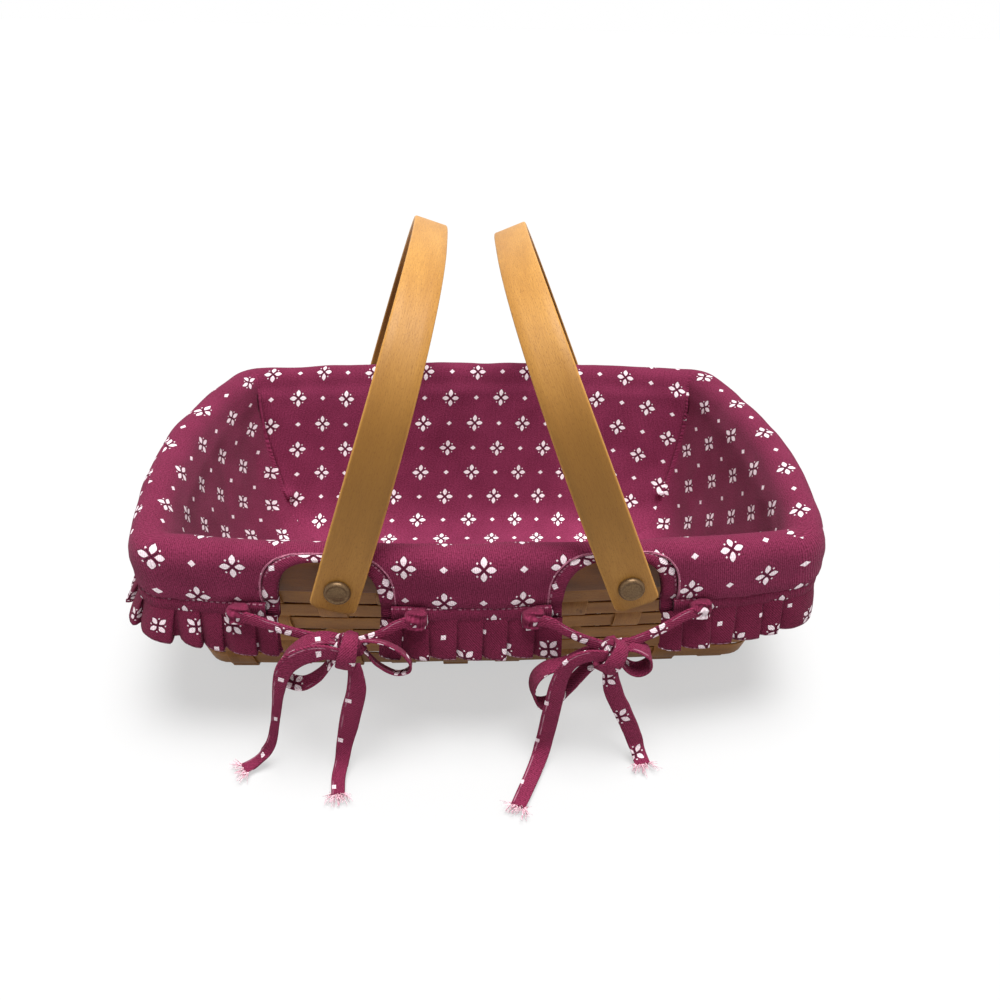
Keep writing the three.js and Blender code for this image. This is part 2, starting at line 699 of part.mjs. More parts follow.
// Bows and tails at the front, as they lie in the photograph; the pair at the back is the front pair
// turned round. Loops are [along, up] from the knot, in widths of the tie. Tails are [along, outward,
// height]: the first two are such widths too, and the height is a share of the knot's height over a
// tail that lies on the floor.
const bows = [
  {
    side: 'left',
    place: -1,
    knotInset: leftKnotInset,
    knotDrop: leftKnotDrop,
    loops: [
      [
        [-0.09, 0], [-1.8, 1], [-3.51, 0], [-4.66, -1.57], [-4.51, -3.14], [-3.37, -3.64],
        [-2.23, -2.71], [-1.37, -1],
      ],
      [
        [0.2, 0.14], [1.63, 0.57], [2.91, -0.14], [3.91, -1.14], [3.91, -2.29], [2.91, -2.79],
        [1.77, -1.86], [1.06, -0.57],
      ],
    ],
    tails: [
      [
        [-0.37, 1.05, 1.015], [-1.59, 1.07, 1.043], [-2.8, 1.14, 1.015], [-3.8, 1.14, 0.939],
        [-4.37, 1.14, 0.825], [-4.73, 1.14, 0.68], [-5.01, 1.14, 0.527], [-5.37, 1.14, 0.345],
        [-5.8, 1.19, 0.177], [-6.44, 1.29, 0.062], [-7.09, 1.53, 0.006], [-7.73, 2, 0],
      ],
      [
        [0.41, 1.05, 0.924], [0.49, 1.09, 0.809], [0.41, 1.2, 0.68], [-0.01, 1.26, 0.497],
        [-0.37, 1.31, 0.329], [-0.73, 1.43, 0.169], [-0.94, 1.93, 0.047], [-1.09, 2.86, 0.002],
        [-0.94, 4.36, 0],
      ],
    ],
  },
  {
    side: 'right',
    place: 1,
    knotInset: rightKnotInset,
    knotDrop: rightKnotDrop,
    loops: [
      [
        [-0.19, -0.07], [-1.61, -0.21], [-3.19, -1.07], [-4.47, -1.5], [-5.26, -2.5],
        [-5.37, -3.79], [-4.9, -5.14], [-3.9, -4.93], [-2.76, -3.36], [-1.61, -1.64],
      ],
      [
        [0.24, 0.21], [1.39, 0.36], [2.53, -0.36], [2.67, -1.36], [1.81, -2], [0.81, -1.36],
      ],
    ],
    tails: [
      [
        [-0.61, 1.05, 1.05], [-1.76, 1.07, 1.058], [-2.76, 1.14, 1.017], [-3.4, 1.14, 0.917],
        [-3.73, 1.14, 0.775], [-3.9, 1.14, 0.626], [-4.1, 1.14, 0.443], [-4.29, 1.14, 0.26],
        [-4.51, 1.26, 0.101], [-4.83, 1.86, 0.02], [-5.4, 3.14, 0], [-6.54, 5.64, 0],
      ],
      [
        [-0.33, 1.05, 0.925], [-0.16, 1.09, 0.8], [0.2, 1.14, 0.651], [0.74, 1.17, 0.509],
        [1.24, 1.2, 0.376], [1.74, 1.26, 0.235], [2.17, 1.36, 0.098], [2.41, 1.71, 0.013],
        [2.53, 2.43, 0],
      ],
    ],
  },
];

const loopSteps = 13;

function loopBand(points, knot) {
  const placed = points.map(([along, up]) =>
    new THREE.Vector2(along, up).multiplyScalar(tieWidth).add(knot));
  const curve = new THREE.SplineCurve([...placed, placed[0]]);
  const middle = curve.getPoints(loopSteps).slice(0, -1);
  return loft(middle.map((point, i) => {
    const before = middle[(i + middle.length - 1) % middle.length];
    const after = middle[(i + 1) % middle.length];
    const run = after.clone().sub(before).setLength(tieThickness / 2);
    const corner = (out, back) =>
      new THREE.Vector3(point.x - out * run.y, back * loopDepth / 2 - knotOutset, point.y + out * run.x);
    return [corner(-1, -1), corner(-1, 1), corner(1, 1), corner(1, -1)];
  }), true);
}

// A lead runs from the casing's end across the arch to the knot
function leadBand(knot, side, turn) {
  const shift = turn === 0 ? -linerOffset : linerOffset;
  const edge = shift + Math.sign(knot.x) * archHalfSpan + side * (archHalfWidth + leadRun);
  const casingZ = (casingTop + casingBottom) / 2;
  const startY = sideReach(rimHeight, edge, casingOffset) + fit + tieThickness / 2;
  const stations = [
    [edge, startY, casingZ, tieWidth / 2],
    [
      mix(edge, knot.x, leadMiddleShares.along),
      mix(startY, leadOutset, leadMiddleShares.out),
      mix(casingZ, knot.y, leadMiddleShares.up),
      leadHalfWidth,
    ],
    [knot.x + side * knotHalfWidth / 2, leadOutset, knot.y, leadHalfWidth],
  ];
  return loft(stations.map(([x, y, z, w]) => [
    new THREE.Vector3(x, -y - tieThickness / 2, z - w),
    new THREE.Vector3(x, -y + tieThickness / 2, z - w),
    new THREE.Vector3(x, -y + tieThickness / 2, z + w),
    new THREE.Vector3(x, -y - tieThickness / 2, z + w),
  ]), false);
}

function tiedBow(loops, knot, turn) {
  const disc = new THREE.CylinderGeometry(1, 1, 2 * knotHalfDepth, knotSides);
  disc.scale(knotHalfWidth, 1, knotHalfHeight);
  disc.translate(knot.x, -knotOutset, knot.y);
  let solid = toSolid(disc);
  for (const points of loops) solid = solid.add(toSolid(loopBand(points, knot)));
  for (const side of [-1, 1]) solid = solid.add(toSolid(leadBand(knot, side, turn)));
  return toGeometry(solid);
}

const tailSteps = 10;

function tail(points, knot) {
  const rest = tailRadius + tailLift;
  const path = new THREE.CatmullRomCurve3(points.map(([along, outward, height]) => new THREE.Vector3(
    knot.x + along * tieWidth,
    -knotOutset - outward * tieWidth,
    mix(rest, knot.y, height),
  )));
  const section = new THREE.Shape(Array.from({ length: tailSides }, (_, i) => {
    const angle = (2 * Math.PI * i) / tailSides;
    return new THREE.Vector2(tailRadius * Math.cos(angle), tailRadius * Math.sin(angle));
  }));
  return new THREE.ExtrudeGeometry(section, { steps: tailSteps, extrudePath: path, bevelEnabled: false });
}

for (const design of bows) {
  for (const [end, turn] of [['front', 0], ['back', Math.PI]]) {
    const group = new THREE.Group();
    group.rotation.z = turn;
    basket.add(group);
    const side = turn === 0 ? design.side : { left: 'right', right: 'left' }[design.side];
    const knotX = design.place * (pivotHalfSpan - design.knotInset);
    const knot = new THREE.Vector2(knotX, rimHeight - design.knotDrop);
    add(group, `bow_${end}_${side}`, tiedBow(design.loops, knot, turn), cloth(tieColour));
    design.tails.forEach((points, i) => {
      add(group, `tie_tail_${end}_${side}_${i + 1}`, tail(points, knot), cloth(tieColour));
    });
  }
}

export default basket;
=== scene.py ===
# Lined basket: a splint-woven basket with two riveted swing handles and a printed cotton liner that
# is tied round the feet of the handles. Metres, +Z up, +X along the length.
import math

import bpy
import numpy as np
from mathutils import Matrix, Vector, noise


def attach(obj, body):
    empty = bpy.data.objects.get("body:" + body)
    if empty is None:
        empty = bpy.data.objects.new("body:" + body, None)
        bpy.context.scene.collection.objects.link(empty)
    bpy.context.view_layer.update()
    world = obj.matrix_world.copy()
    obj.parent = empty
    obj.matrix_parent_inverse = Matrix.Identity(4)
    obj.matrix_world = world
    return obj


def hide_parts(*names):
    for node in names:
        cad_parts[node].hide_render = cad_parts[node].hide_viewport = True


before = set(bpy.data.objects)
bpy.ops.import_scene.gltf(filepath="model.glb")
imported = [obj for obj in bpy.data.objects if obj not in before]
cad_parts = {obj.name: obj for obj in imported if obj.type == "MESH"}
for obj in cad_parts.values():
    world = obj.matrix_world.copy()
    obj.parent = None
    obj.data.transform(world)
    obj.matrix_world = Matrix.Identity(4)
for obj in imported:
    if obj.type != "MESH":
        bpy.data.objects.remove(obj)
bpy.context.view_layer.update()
print("frame", len(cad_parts), "nodes")


def addObject(name, data):
    made = bpy.data.objects.new(name, data)
    bpy.context.scene.collection.objects.link(made)
    return made


# Camera, as the photograph was taken
camera = {
    "place": (-0.01085, -0.41339, 0.31666),
    "pitch": 0.545, "yaw": 0.0572, "roll": 0.0226,
    "lens": 28.4, "sensor": 36,
}


def makeCamera():
    data = bpy.data.cameras.new("camera")
    data.lens = camera["lens"]
    data.sensor_width = camera["sensor"]
    data.clip_start = 0.01
    eye = addObject("camera", data)
    pitch, yaw, roll = camera["pitch"], camera["yaw"], camera["roll"]
    forward = Vector((math.sin(yaw) * math.cos(pitch), math.cos(yaw) * math.cos(pitch), -math.sin(pitch)))
    level = forward.cross(Vector((0, 0, 1))).normalized()
    upright = level.cross(forward)
    right = level * math.cos(roll) + upright * math.sin(roll)
    up = upright * math.cos(roll) - level * math.sin(roll)
    turn = Matrix((right, up, -forward)).transposed().to_4x4()
    eye.matrix_world = Matrix.Translation(Vector(camera["place"])) @ turn
    bpy.context.scene.camera = eye


makeCamera()


# Sums on numbers and on rows of points
def mix(a, b, share):
    return a + (b - a) * share


def smooth(value, low, high):
    share = np.clip((value - low) / (high - low), 0, 1)
    return share * share * (3 - 2 * share)


def rounded(value, power):
    return np.sign(value) * np.abs(value) ** power


def hill(value, reach):
    return np.exp(-(value / reach) ** 2)


def unit(rows):
    return rows / np.linalg.norm(rows, axis=-1, keepdims=True)


def paired(first, second):
    return np.stack(np.broadcast_arrays(first, second), axis=-1)


def runLength(line):
    return np.concatenate([[0], np.cumsum(np.linalg.norm(np.diff(line, axis=0), axis=1))])


def aboutY(degrees):
    lean = math.radians(degrees)
    return np.array([[math.cos(lean), 0, math.sin(lean)], [0, 1, 0], [-math.sin(lean), 0, math.cos(lean)]])


def rough(points, size, seed=0.0):
    places = np.asarray(points, float) / size
    flat = places.reshape(-1, places.shape[-1])
    values = [noise.noise(Vector((p[0] + seed, p[1] - seed, p[2] if len(p) > 2 else 0.0))) for p in flat]
    return np.array(values).reshape(places.shape[:-1])


# The wall's middle, from its outline at the floor to its outline at the rim
wall = {
    "baseHalfLength": 0.1545, "baseHalfWidth": 0.074, "baseSideRadius": 6.0, "baseEndRadius": 2.5,
    "rimHalfLength": 0.175, "rimHalfWidth": 0.116, "rimSideRadius": 1.0, "rimEndRadius": 0.323,
    "rimHeight": 0.104, "cornerRadius": 0.014,
}


# Nine arcs round the wall at a height, counter-clockwise from the middle of the front:
# columns are the centre's x and y, the radius, the start angle and the sweep
def wallArcs(z):
    level = min(z / wall["rimHeight"], 1)
    halfLength, halfWidth = (mix(wall["base" + key], wall["rim" + key], level)
                             for key in ("HalfLength", "HalfWidth"))
    sideRadius, endRadius = (1 / mix(1 / wall["base" + key], 1 / wall["rim" + key], level)
                             for key in ("SideRadius", "EndRadius"))
    cornerRadius = wall["cornerRadius"]
    side = Vector((0, halfWidth - sideRadius))
    end = Vector((halfLength - endRadius, 0))
    toSide = sideRadius - cornerRadius
    toEnd = endRadius - cornerRadius
    apart = (end - side).length
    along = (toSide ** 2 - toEnd ** 2 + apart ** 2) / (2 * apart)
    across = math.sqrt(toSide ** 2 - along ** 2)
    between = (end - side).normalized()
    normal = Vector((-between.y, between.x))
    if normal.x < 0:
        normal.negate()
    corner = side + between * along + normal * across
    sideSweep = math.pi / 2 - math.atan2(corner.y - side.y, corner.x - side.x)
    endSweep = math.atan2(corner.y - end.y, corner.x - end.x)
    cornerSweep = math.pi / 2 - sideSweep - endSweep
    rows = [
        (0, -side.y, sideRadius, sideSweep),
        (corner.x, -corner.y, cornerRadius, cornerSweep),
        (end.x, 0, endRadius, 2 * endSweep),
        (corner.x, corner.y, cornerRadius, cornerSweep),
        (0, side.y, sideRadius, 2 * sideSweep),
        (-corner.x, corner.y, cornerRadius, cornerSweep),
        (-end.x, 0, endRadius, 2 * endSweep),
        (-corner.x, -corner.y, cornerRadius, cornerSweep),
        (0, -side.y, sideRadius, sideSweep),
    ]
    starts = -math.pi / 2 + np.concatenate([[0], np.cumsum([row[3] for row in rows])[:-1]])
    return np.array([(*row[:3], start, row[3]) for row, start in zip(rows, starts)])


sideArcs, endArcs, cornerArcs = [0, 4, 8], [2, 6], [1, 3, 5, 7]
rimArcs = wallArcs(wall["rimHeight"])
rimLengths = rimArcs[:, 2] * rimArcs[:, 4]
rimStarts = np.concatenate([[0], np.cumsum(rimLengths)])
rimLength = rimStarts[-1]
halfLoop = rimLength / 2


# Where a distance along the rim falls: which arc, and the share of it
def stopsAt(distance):
    wrapped = np.asarray(distance, float) % rimLength
    arc = np.clip(np.searchsorted(rimStarts, wrapped, side="right") - 1, 0, 8)
    return arc, (wrapped - rimStarts[arc]) / rimLengths[arc]


# A distance along the rim, counted both ways from the front's middle
def fromFront(distance):
    return (np.asarray(distance) + halfLoop) % rimLength - halfLoop


def onWall(arcs, stops, offset, z):
    index, share = stops
    angle = arcs[index, 3] + share * arcs[index, 4]
    radius = arcs[index, 2] + offset
    x = arcs[index, 0] + radius * np.cos(angle)
    y = arcs[index, 1] + radius * np.sin(angle)
    return np.stack([x, y, np.broadcast_to(z, x.shape)], axis=-1)


# How far out the wall stands, at its back (arc 4) or its right end (arc 2)
def wallReach(z, across, offset, arc=4):
    x, y, radius = wallArcs(z)[arc, :3]
    return (y if arc == 4 else x) + np.sqrt((radius + offset) ** 2 - across ** 2)


# Mesh making
def addMesh(name, points, faces, corners=None, material=None, strips=None):
    mesh = bpy.data.meshes.new(name)
    mesh.from_pydata(np.asarray(points, float).reshape(-1, 3).tolist(), [], faces)
    for label, values in (("cloth", corners), ("strip", strips)):
        if values is not None:
            layer = mesh.uv_layers.new(name=label)
            layer.data.foreach_set("uv", np.asarray(values, np.float32).ravel())
    mesh.shade_smooth()
    if material:
        mesh.materials.append(material)
    return addObject(name, mesh)


# Faces of a grid of points, rows by columns
def gridFaces(rows, columns, closed=False):
    across = columns if closed else columns - 1
    row, column = np.meshgrid(np.arange(rows - 1), np.arange(across), indexing="ij")
    after = (column + 1) % columns
    faces = np.stack([row * columns + column, row * columns + after,
                      (row + 1) * columns + after, (row + 1) * columns + column], axis=-1)
    return faces.reshape(-1, 4)


# The corners' flat places, from a grid that has one more column than the points where it is closed
def gridCorners(flat):
    return np.stack([flat[:-1, :-1], flat[:-1, 1:], flat[1:, 1:], flat[1:, :-1]], axis=2).reshape(-1, 2)


def addGrid(name, points, flat, strip, material, closed=False):
    faces = gridFaces(*points.shape[:2], closed).tolist()
    strips = None if strip is None else gridCorners(strip)
    return addMesh(name, points, faces, gridCorners(flat), material, strips)


# A tube of rings, which meets itself or has both ends capped
def addTube(name, grid, flat, strip, material, meets=False):
    rows, columns = grid.shape[:2]
    faces = gridFaces(rows, columns, True).tolist()
    layers = [None if layer is None else gridCorners(layer) for layer in (flat, strip)]
    if not meets:
        for row, order in ((0, list(range(columns - 1, -1, -1))), (rows - 1, list(range(columns)))):
            faces.append([row * columns + i for i in order])
            layers = [None if corners is None else np.vstack([corners, layer[row, order]])
                      for corners, layer in zip(layers, (flat, strip))]
    return addMesh(name, grid, faces, layers[0], material, layers[1])


def addThickness(piece, thickness):
    thick = piece.modifiers.new("thickness", "SOLIDIFY")
    thick.thickness = thickness
    thick.offset = -1


def evenLine(points, count):
    steps = runLength(points)
    wanted = np.linspace(0, steps[-1], count)
    return np.stack([np.interp(wanted, steps, points[:, k]) for k in range(points.shape[1])], axis=-1)


# A smooth line through points, as evenly spaced points
def smoothLine(points, count, closed=False):
    points = np.asarray(points, float)
    if closed:
        padded = np.vstack([points[-1], points, points[:2]])
    else:
        padded = np.vstack([2 * points[0] - points[1], points, 2 * points[-1] - points[-2]])
    t = np.linspace(0, 1, 24, endpoint=False)[:, None]
    fine = []
    for a, b, c, d in zip(padded, padded[1:], padded[2:], padded[3:]):
        fine.append(0.5 * (2 * b + (c - a) * t + (2 * a - 5 * b + 4 * c - d) * t ** 2
                           + (3 * b - a - 3 * c + d) * t ** 3))
    return evenLine(np.vstack([*fine, padded[-2][None]]), count)


# Node helpers
def node(tree, kind, **settings):
    made = tree.nodes.new(kind)
    for name, value in settings.items():
        setattr(made, name, value)
    return made


class Sums:
    def __init__(self, tree):
        self.tree = tree

    def link(self, value, socket):
        if isinstance(value, (int, float, tuple)):
            socket.default_value = value
        else:
            self.tree.links.new(value, socket)

    def make(self, kind, output, values, **settings):
        made = node(self.tree, kind, **settings)
        for place, value in values.items():
            self.link(value, made.inputs[place])
        return made.outputs[output]

    def math(self, operation, *values, clamp=False):
        return self.make("ShaderNodeMath", 0, dict(enumerate(values)), operation=operation, use_clamp=clamp)

    def add(self, a, b, clamp=False):
        return self.math("ADD", a, b, clamp=clamp)

    def sub(self, a, b):
        return self.math("SUBTRACT", a, b)

    def mul(self, a, b, clamp=False):
        return self.math("MULTIPLY", a, b, clamp=clamp)

    def div(self, a, b):
        return self.math("DIVIDE", a, b)

    def apart(self, a, b):
        return self.math("ABSOLUTE", self.sub(a, b))

    def most(self, a, b):
        return self.math("MAXIMUM", a, b)

    def step(self, value, low, high):
        values = {"Value": value, "From Min": low, "From Max": high}
        return self.make("ShaderNodeMapRange", "Result", values, interpolation_type="SMOOTHSTEP")

    def noise(self, vector, scale, detail=2.0, rough=0.5):
        values = {"Vector": vector, "Scale": scale, "Detail": detail, "Roughness": rough}
        return self.make("ShaderNodeTexNoise", "Fac", values)

    def blend(self, share, first, second, kind="MIX"):
        values = {0: share, 6: first, 7: second}
        return self.make("ShaderNodeMix", 2, values, data_type="RGBA", blend_type=kind)

    def bump(self, height, strength, distance):
        values = {"Height": height, "Strength": strength, "Distance": distance}
        return self.make("ShaderNodeBump", "Normal", values)

    def split(self, vector):
        made = node(self.tree, "ShaderNodeSeparateXYZ")
        self.link(vector, made.inputs[0])
        return made.outputs

    def flat(self, layer):
        return node(self.tree, "ShaderNodeUVMap", uv_map=layer).outputs[0]

    def group(self, tree, vector):
        made = node(self.tree, "ShaderNodeGroup", node_tree=tree)
        self.link(vector, made.inputs[0])
        return made.outputs


# A node group with one vector going in and numbers coming out
def newGroup(name, *outputs):
    tree = bpy.data.node_groups.new(name, "ShaderNodeTree")
    tree.interface.new_socket("Vector", in_out="INPUT", socket_type="NodeSocketVector")
    for label in outputs:
        tree.interface.new_socket(label, in_out="OUTPUT", socket_type="NodeSocketFloat")
    return Sums(tree), node(tree, "NodeGroupInput").outputs[0], node(tree, "NodeGroupOutput").inputs


def newMaterial(name, finish):
    material = bpy.data.materials.new(name)
    material.use_nodes = True
    shader = material.node_tree.nodes["Principled BSDF"].inputs
    for label, value in finish.items():
        shader[label].default_value = value
    return material, Sums(material.node_tree), shader


def linear(red, green, blue):
    def one(value):
        share = value / 255
        return share / 12.92 if share <= 0.04045 else ((share + 0.055) / 1.055) ** 2.4
    return (one(red), one(green), one(blue), 1.0)


# A colour made darker or paler, by one share or by one each for red, green and blue
def scaled(colour, *shares):
    shares = shares if len(shares) > 1 else shares * 3
    return tuple(min(share * c, 1) for share, c in zip(shares, colour)) + (1,)


# The cotton's print: flowers of four petals in half-drop rows with a small lozenge between them
sprig = {
    "pitch": 0.0363,
    "petalMiddle": 0.0034, "petalHalfLength": 0.0024, "petalHalfWidth": 0.00145,
    "dotPlace": 0.0030, "dotSize": 0.0006,  # the small dots between the petals
    "lozengeHalfLength": 0.0019, "lozengeHalfWidth": 0.0016,
    "wobble": 0.0005, "wobbleScale": 900,  # how uneven the printed edges are
    "haloShare": 0.55,  # the darker line round the petals
}


def makePrint():
    do, place, made = newGroup("sprig", "Pale", "Dark")
    pitch = sprig["pitch"]
    across, down, _ = do.split(place)
    wobble = do.mul(do.sub(do.noise(place, sprig["wobbleScale"]), 0.5), sprig["wobble"])
    v = do.div(down, pitch / 2)
    row = do.math("ROUND", v)
    odd = do.math("FLOORED_MODULO", row, 2.0)
    shifted = do.sub(do.div(across, pitch), do.mul(odd, 0.5))
    column = do.math("ROUND", shifted)
    x = do.math("ABSOLUTE", do.mul(do.sub(shifted, column), pitch))
    y = do.math("ABSOLUTE", do.mul(do.sub(v, row), pitch / 2))
    far = do.most(x, y)
    near = do.math("MINIMUM", x, y)
    along = do.div(do.sub(far, sprig["petalMiddle"]), sprig["petalHalfLength"])
    width = do.mul(do.sub(1.0, do.mul(along, along)), sprig["petalHalfWidth"])
    inside = do.add(do.sub(width, near), wobble)
    petal = do.step(inside, -0.00008, 0.00016)
    dotAway = do.add(do.apart(x, sprig["dotPlace"]), do.apart(y, sprig["dotPlace"]))
    dot = do.step(do.add(do.sub(sprig["dotSize"], dotAway), wobble), -0.0001, 0.0002)
    beside = do.div(do.sub(pitch / 2, x), sprig["lozengeHalfLength"])
    lozengeAway = do.add(beside, do.div(y, sprig["lozengeHalfWidth"]))
    lozenge = do.step(do.add(do.sub(1.0, lozengeAway), do.mul(wobble, 300.0)), -0.05, 0.1)
    pale = do.most(petal, do.most(dot, lozenge))
    halo = do.mul(do.step(inside, -0.0007, -0.0002), do.sub(1.0, petal))
    cross = do.step(do.sub(0.0003, do.sub(far, near)), -0.0001, 0.0001)
    lines = do.mul(cross, do.step(far, 0.0030, 0.0026))
    dark = do.most(do.mul(halo, sprig["haloShare"]), lines)
    do.link(pale, made[0])
    do.link(do.mul(dark, do.sub(1.0, pale), clamp=True), made[1])
    return do.tree


# The cotton's weave: a height for bump and a shade that mottles the colour
twill = {"ribPitch": 0.00095, "slant": 0.12, "warpScale": 300, "fibreScale": 1250, "cloudScale": 60}


def makeTwill():
    do, place, made = newGroup("twill", "Height", "Shade")
    across, down, _ = do.split(place)
    slant = do.add(across, do.mul(down, twill["slant"]))
    warped = do.add(slant, do.mul(do.noise(place, twill["warpScale"]), 0.0006))
    rib = do.math("SINE", do.mul(warped, 2 * math.pi / twill["ribPitch"]))
    fibre = do.noise(place, twill["fibreScale"], 2)
    cloud = do.noise(place, twill["cloudScale"], 3)
    mottle = do.add(do.mul(do.sub(fibre, 0.5), 2.0), do.mul(do.sub(cloud, 0.5), 0.5))
    do.link(do.add(do.mul(rib, 0.5), fibre), made[0])
    do.link(do.add(do.mul(rib, 0.2), mottle), made[1])
    return do.tree


printGroup = makePrint()
twillGroup = makeTwill()
cotton = {
    "valley": 0.68,  # how dark the colour is between the ribs
    "ink": linear(34, 8, 20), "inkShare": 0.8,
    "petalLow": linear(206, 182, 190), "petalHigh": linear(240, 226, 231),
    "rawEdge": linear(214, 170, 186), "rawShare": 0.4,  # of the ruffles' hem
    "thread": linear(214, 164, 182), "threadShare": 0.35,
    "stitch": 0.0029, "seamPlace": 0.7,
    "inside": (1.45, 1.6, 1.55, 1),  # painted light: the inside is painted paler, by this much for red, green and blue
    "finish": {"Roughness": 0.88, "Sheen Weight": 0.03, "Sheen Roughness": 0.5, "Specular IOR Level": 0.05},
}


# Cotton. Seams are "both" (along both edges), "one" (along one) or "hem" (a raw lower edge).
def clothMaterial(name, colour, faded, seam=None, paintedLight=False):
    material, do, shader = newMaterial(name, cotton["finish"])
    place = do.flat("cloth")
    strip = do.split(do.flat("strip"))
    drawn = do.group(printGroup, place)
    woven = do.group(twillGroup, place)
    shade = do.add(0.5, woven["Shade"], clamp=True)
    ground = do.blend(shade, scaled(colour, cotton["valley"]), faded)
    inked = do.blend(do.mul(drawn["Dark"], cotton["inkShare"]), ground, cotton["ink"])
    flowers = do.blend(shade, cotton["petalLow"], cotton["petalHigh"])
    cloth = do.blend(drawn["Pale"], inked, flowers)
    height = woven["Height"]
    if seam == "hem":
        raw = do.mul(do.step(strip[0], 0.965, 0.985), do.step(do.noise(place, 700), 0.44, 0.56))
        cloth = do.blend(do.mul(raw, cotton["rawShare"]), cloth, cotton["rawEdge"])
    elif seam:
        side = do.math("ABSOLUTE", strip[0]) if seam == "both" else strip[0]
        near = do.step(do.apart(side, cotton["seamPlace"]), 0.1, 0.05)
        phase = do.math("FRACT", do.div(strip[1], cotton["stitch"]))
        thread = do.mul(near, do.step(do.apart(phase, 0.5), 0.33, 0.24))
        worn = do.mul(do.step(do.noise(place, 140), 0.42, 0.56), cotton["threadShare"])
        cloth = do.blend(do.mul(thread, worn), cloth, cotton["thread"])
        height = do.sub(height, do.mul(near, 1.6))
    # Painted light: where paintedLight is set, the colour is blended towards a paler copy by the strip
    # layer's first value, which holds the share of painted light
    if paintedLight:
        cloth = do.blend(strip[0], cloth, do.blend(1.0, cloth, cotton["inside"], "MULTIPLY"))
    do.link(cloth, shader["Base Color"])
    do.link(do.bump(height, 0.6, 0.0004), shader["Normal"])
    return material


linerCloth = clothMaterial("liner_cotton", linear(100, 30, 54), linear(130, 47, 78), paintedLight=True)
seamCloth = clothMaterial("liner_cotton_seamed", linear(98, 29, 52), linear(126, 44, 74), "both")
ruffleCloth = clothMaterial("ruffle_cotton", linear(92, 25, 48), linear(120, 40, 68), "hem")
tieCloth = clothMaterial("tie_cotton", linear(104, 30, 55), linear(136, 49, 80), "one")
# Painted highlight: the corded arch edges get a paler copy of the cotton, for the light along their tops
highlitEdgeCloth = clothMaterial("arch_edge_highlit_cotton", linear(136, 58, 88), linear(190, 122, 144))


def plainMaterial(name, first, second, scale, roughness, metal=0.0, bump=0.2):
    material, do, shader = newMaterial(name, {"Roughness": roughness, "Metallic": metal})
    place = node(do.tree, "ShaderNodeTexCoord").outputs["Object"]
    mottle = do.step(do.noise(place, scale, 4, 0.6), 0.3, 0.7)
    do.link(do.blend(mottle, first, second), shader["Base Color"])
    do.link(do.bump(do.noise(place, scale * 3, 3), bump, 0.0002), shader["Normal"])
    return material


frayedThread = plainMaterial("frayed_thread", linear(206, 140, 160), linear(240, 216, 222), 900, 0.9)
rivetMetal = plainMaterial("aged_bronze", linear(84, 64, 42), linear(114, 90, 62), 1500, 0.42, 0.7, 0.15)
spacerWood = plainMaterial("spacer_wood", linear(140, 96, 52), linear(172, 124, 72), 260, 0.55)

# Wood: fibres along the first flat direction, with short flecks and slow bands of colour
wood = {
    # How often each repeats along and across the grain
    "band": (14, 60), "fibre": (150, 1900), "fleck": (700, 2200), "spot": (70, 130),
    # Painted shade: shadedTone is the dark wood darkened by this much for red, green and blue
    "shadedTone": (0.46, 0.44, 0.34), "worn": 1.35,
    "finish": {"Roughness": 0.5, "Specular IOR Level": 0.22, "Coat Weight": 0.04, "Coat Roughness": 0.35},
}


def woodMaterial(name, dark, light, fleckColour, legShading=0.0):
    material, do, shader = newMaterial(name, wood["finish"])
    place = do.flat("cloth")
    strip = do.split(do.flat("strip"))

    def grain(key, detail, rough):
        made = node(do.tree, "ShaderNodeMapping")
        do.link(place, made.inputs[0])
        made.inputs["Scale"].default_value = (*wood[key], 1)
        return do.noise(made.outputs[0], 1.0, detail, rough)

    fibre = grain("fibre", 3, 0.6)
    fleck = do.step(grain("fleck", 2, 0.5), 0.54, 0.70)
    spot = do.step(grain("spot", 2, 0.5), 0.73, 0.80)
    edge = do.step(do.add(do.math("ABSOLUTE", strip[0]), do.mul(fibre, 0.12)), 0.95, 1.06)
    colour = do.blend(do.step(grain("band", 3, 0.6), 0.3, 0.7), dark, light)
    # Painted shade: the strip layer's second value times legShading blends the colour towards the shaded tone
    colour = do.blend(do.mul(strip[1], legShading), colour, scaled(dark, *wood["shadedTone"]))
    colour = do.blend(do.mul(edge, 0.6), colour, scaled(light, wood["worn"]))
    for mask, share in ((spot, 0.6), (do.step(fibre, 0.35, 0.75), 0.3), (fleck, 0.45)):
        colour = do.blend(do.mul(mask, share), colour, fleckColour)
    do.link(colour, shader["Base Color"])
    do.link(do.bump(do.add(fibre, do.mul(fleck, -0.6)), 0.3, 0.0002), shader["Normal"])
    return material


handleWood = woodMaterial("handle_wood", linear(170, 120, 55), linear(188, 137, 66), linear(108, 68, 28), 0.9)
splintWood = woodMaterial("splint_wood", linear(134, 88, 42), linear(164, 112, 58), linear(84, 50, 22))
rimWood = woodMaterial("rim_wood", linear(96, 54, 18), linear(120, 72, 28), linear(62, 32, 10))

# Ties. Each tail is a folded strip of cotton that hangs from its knot and ends frayed on the floor.
tie = {
    "width": 0.0086, "thickness": 0.0017,
    "roundness": (0.34, 0.8),  # of the section, across and through: nought is square, one is round
    "crumple": 0.00022, "bias": 0.7071,  # cut at 45 degrees to the print
}
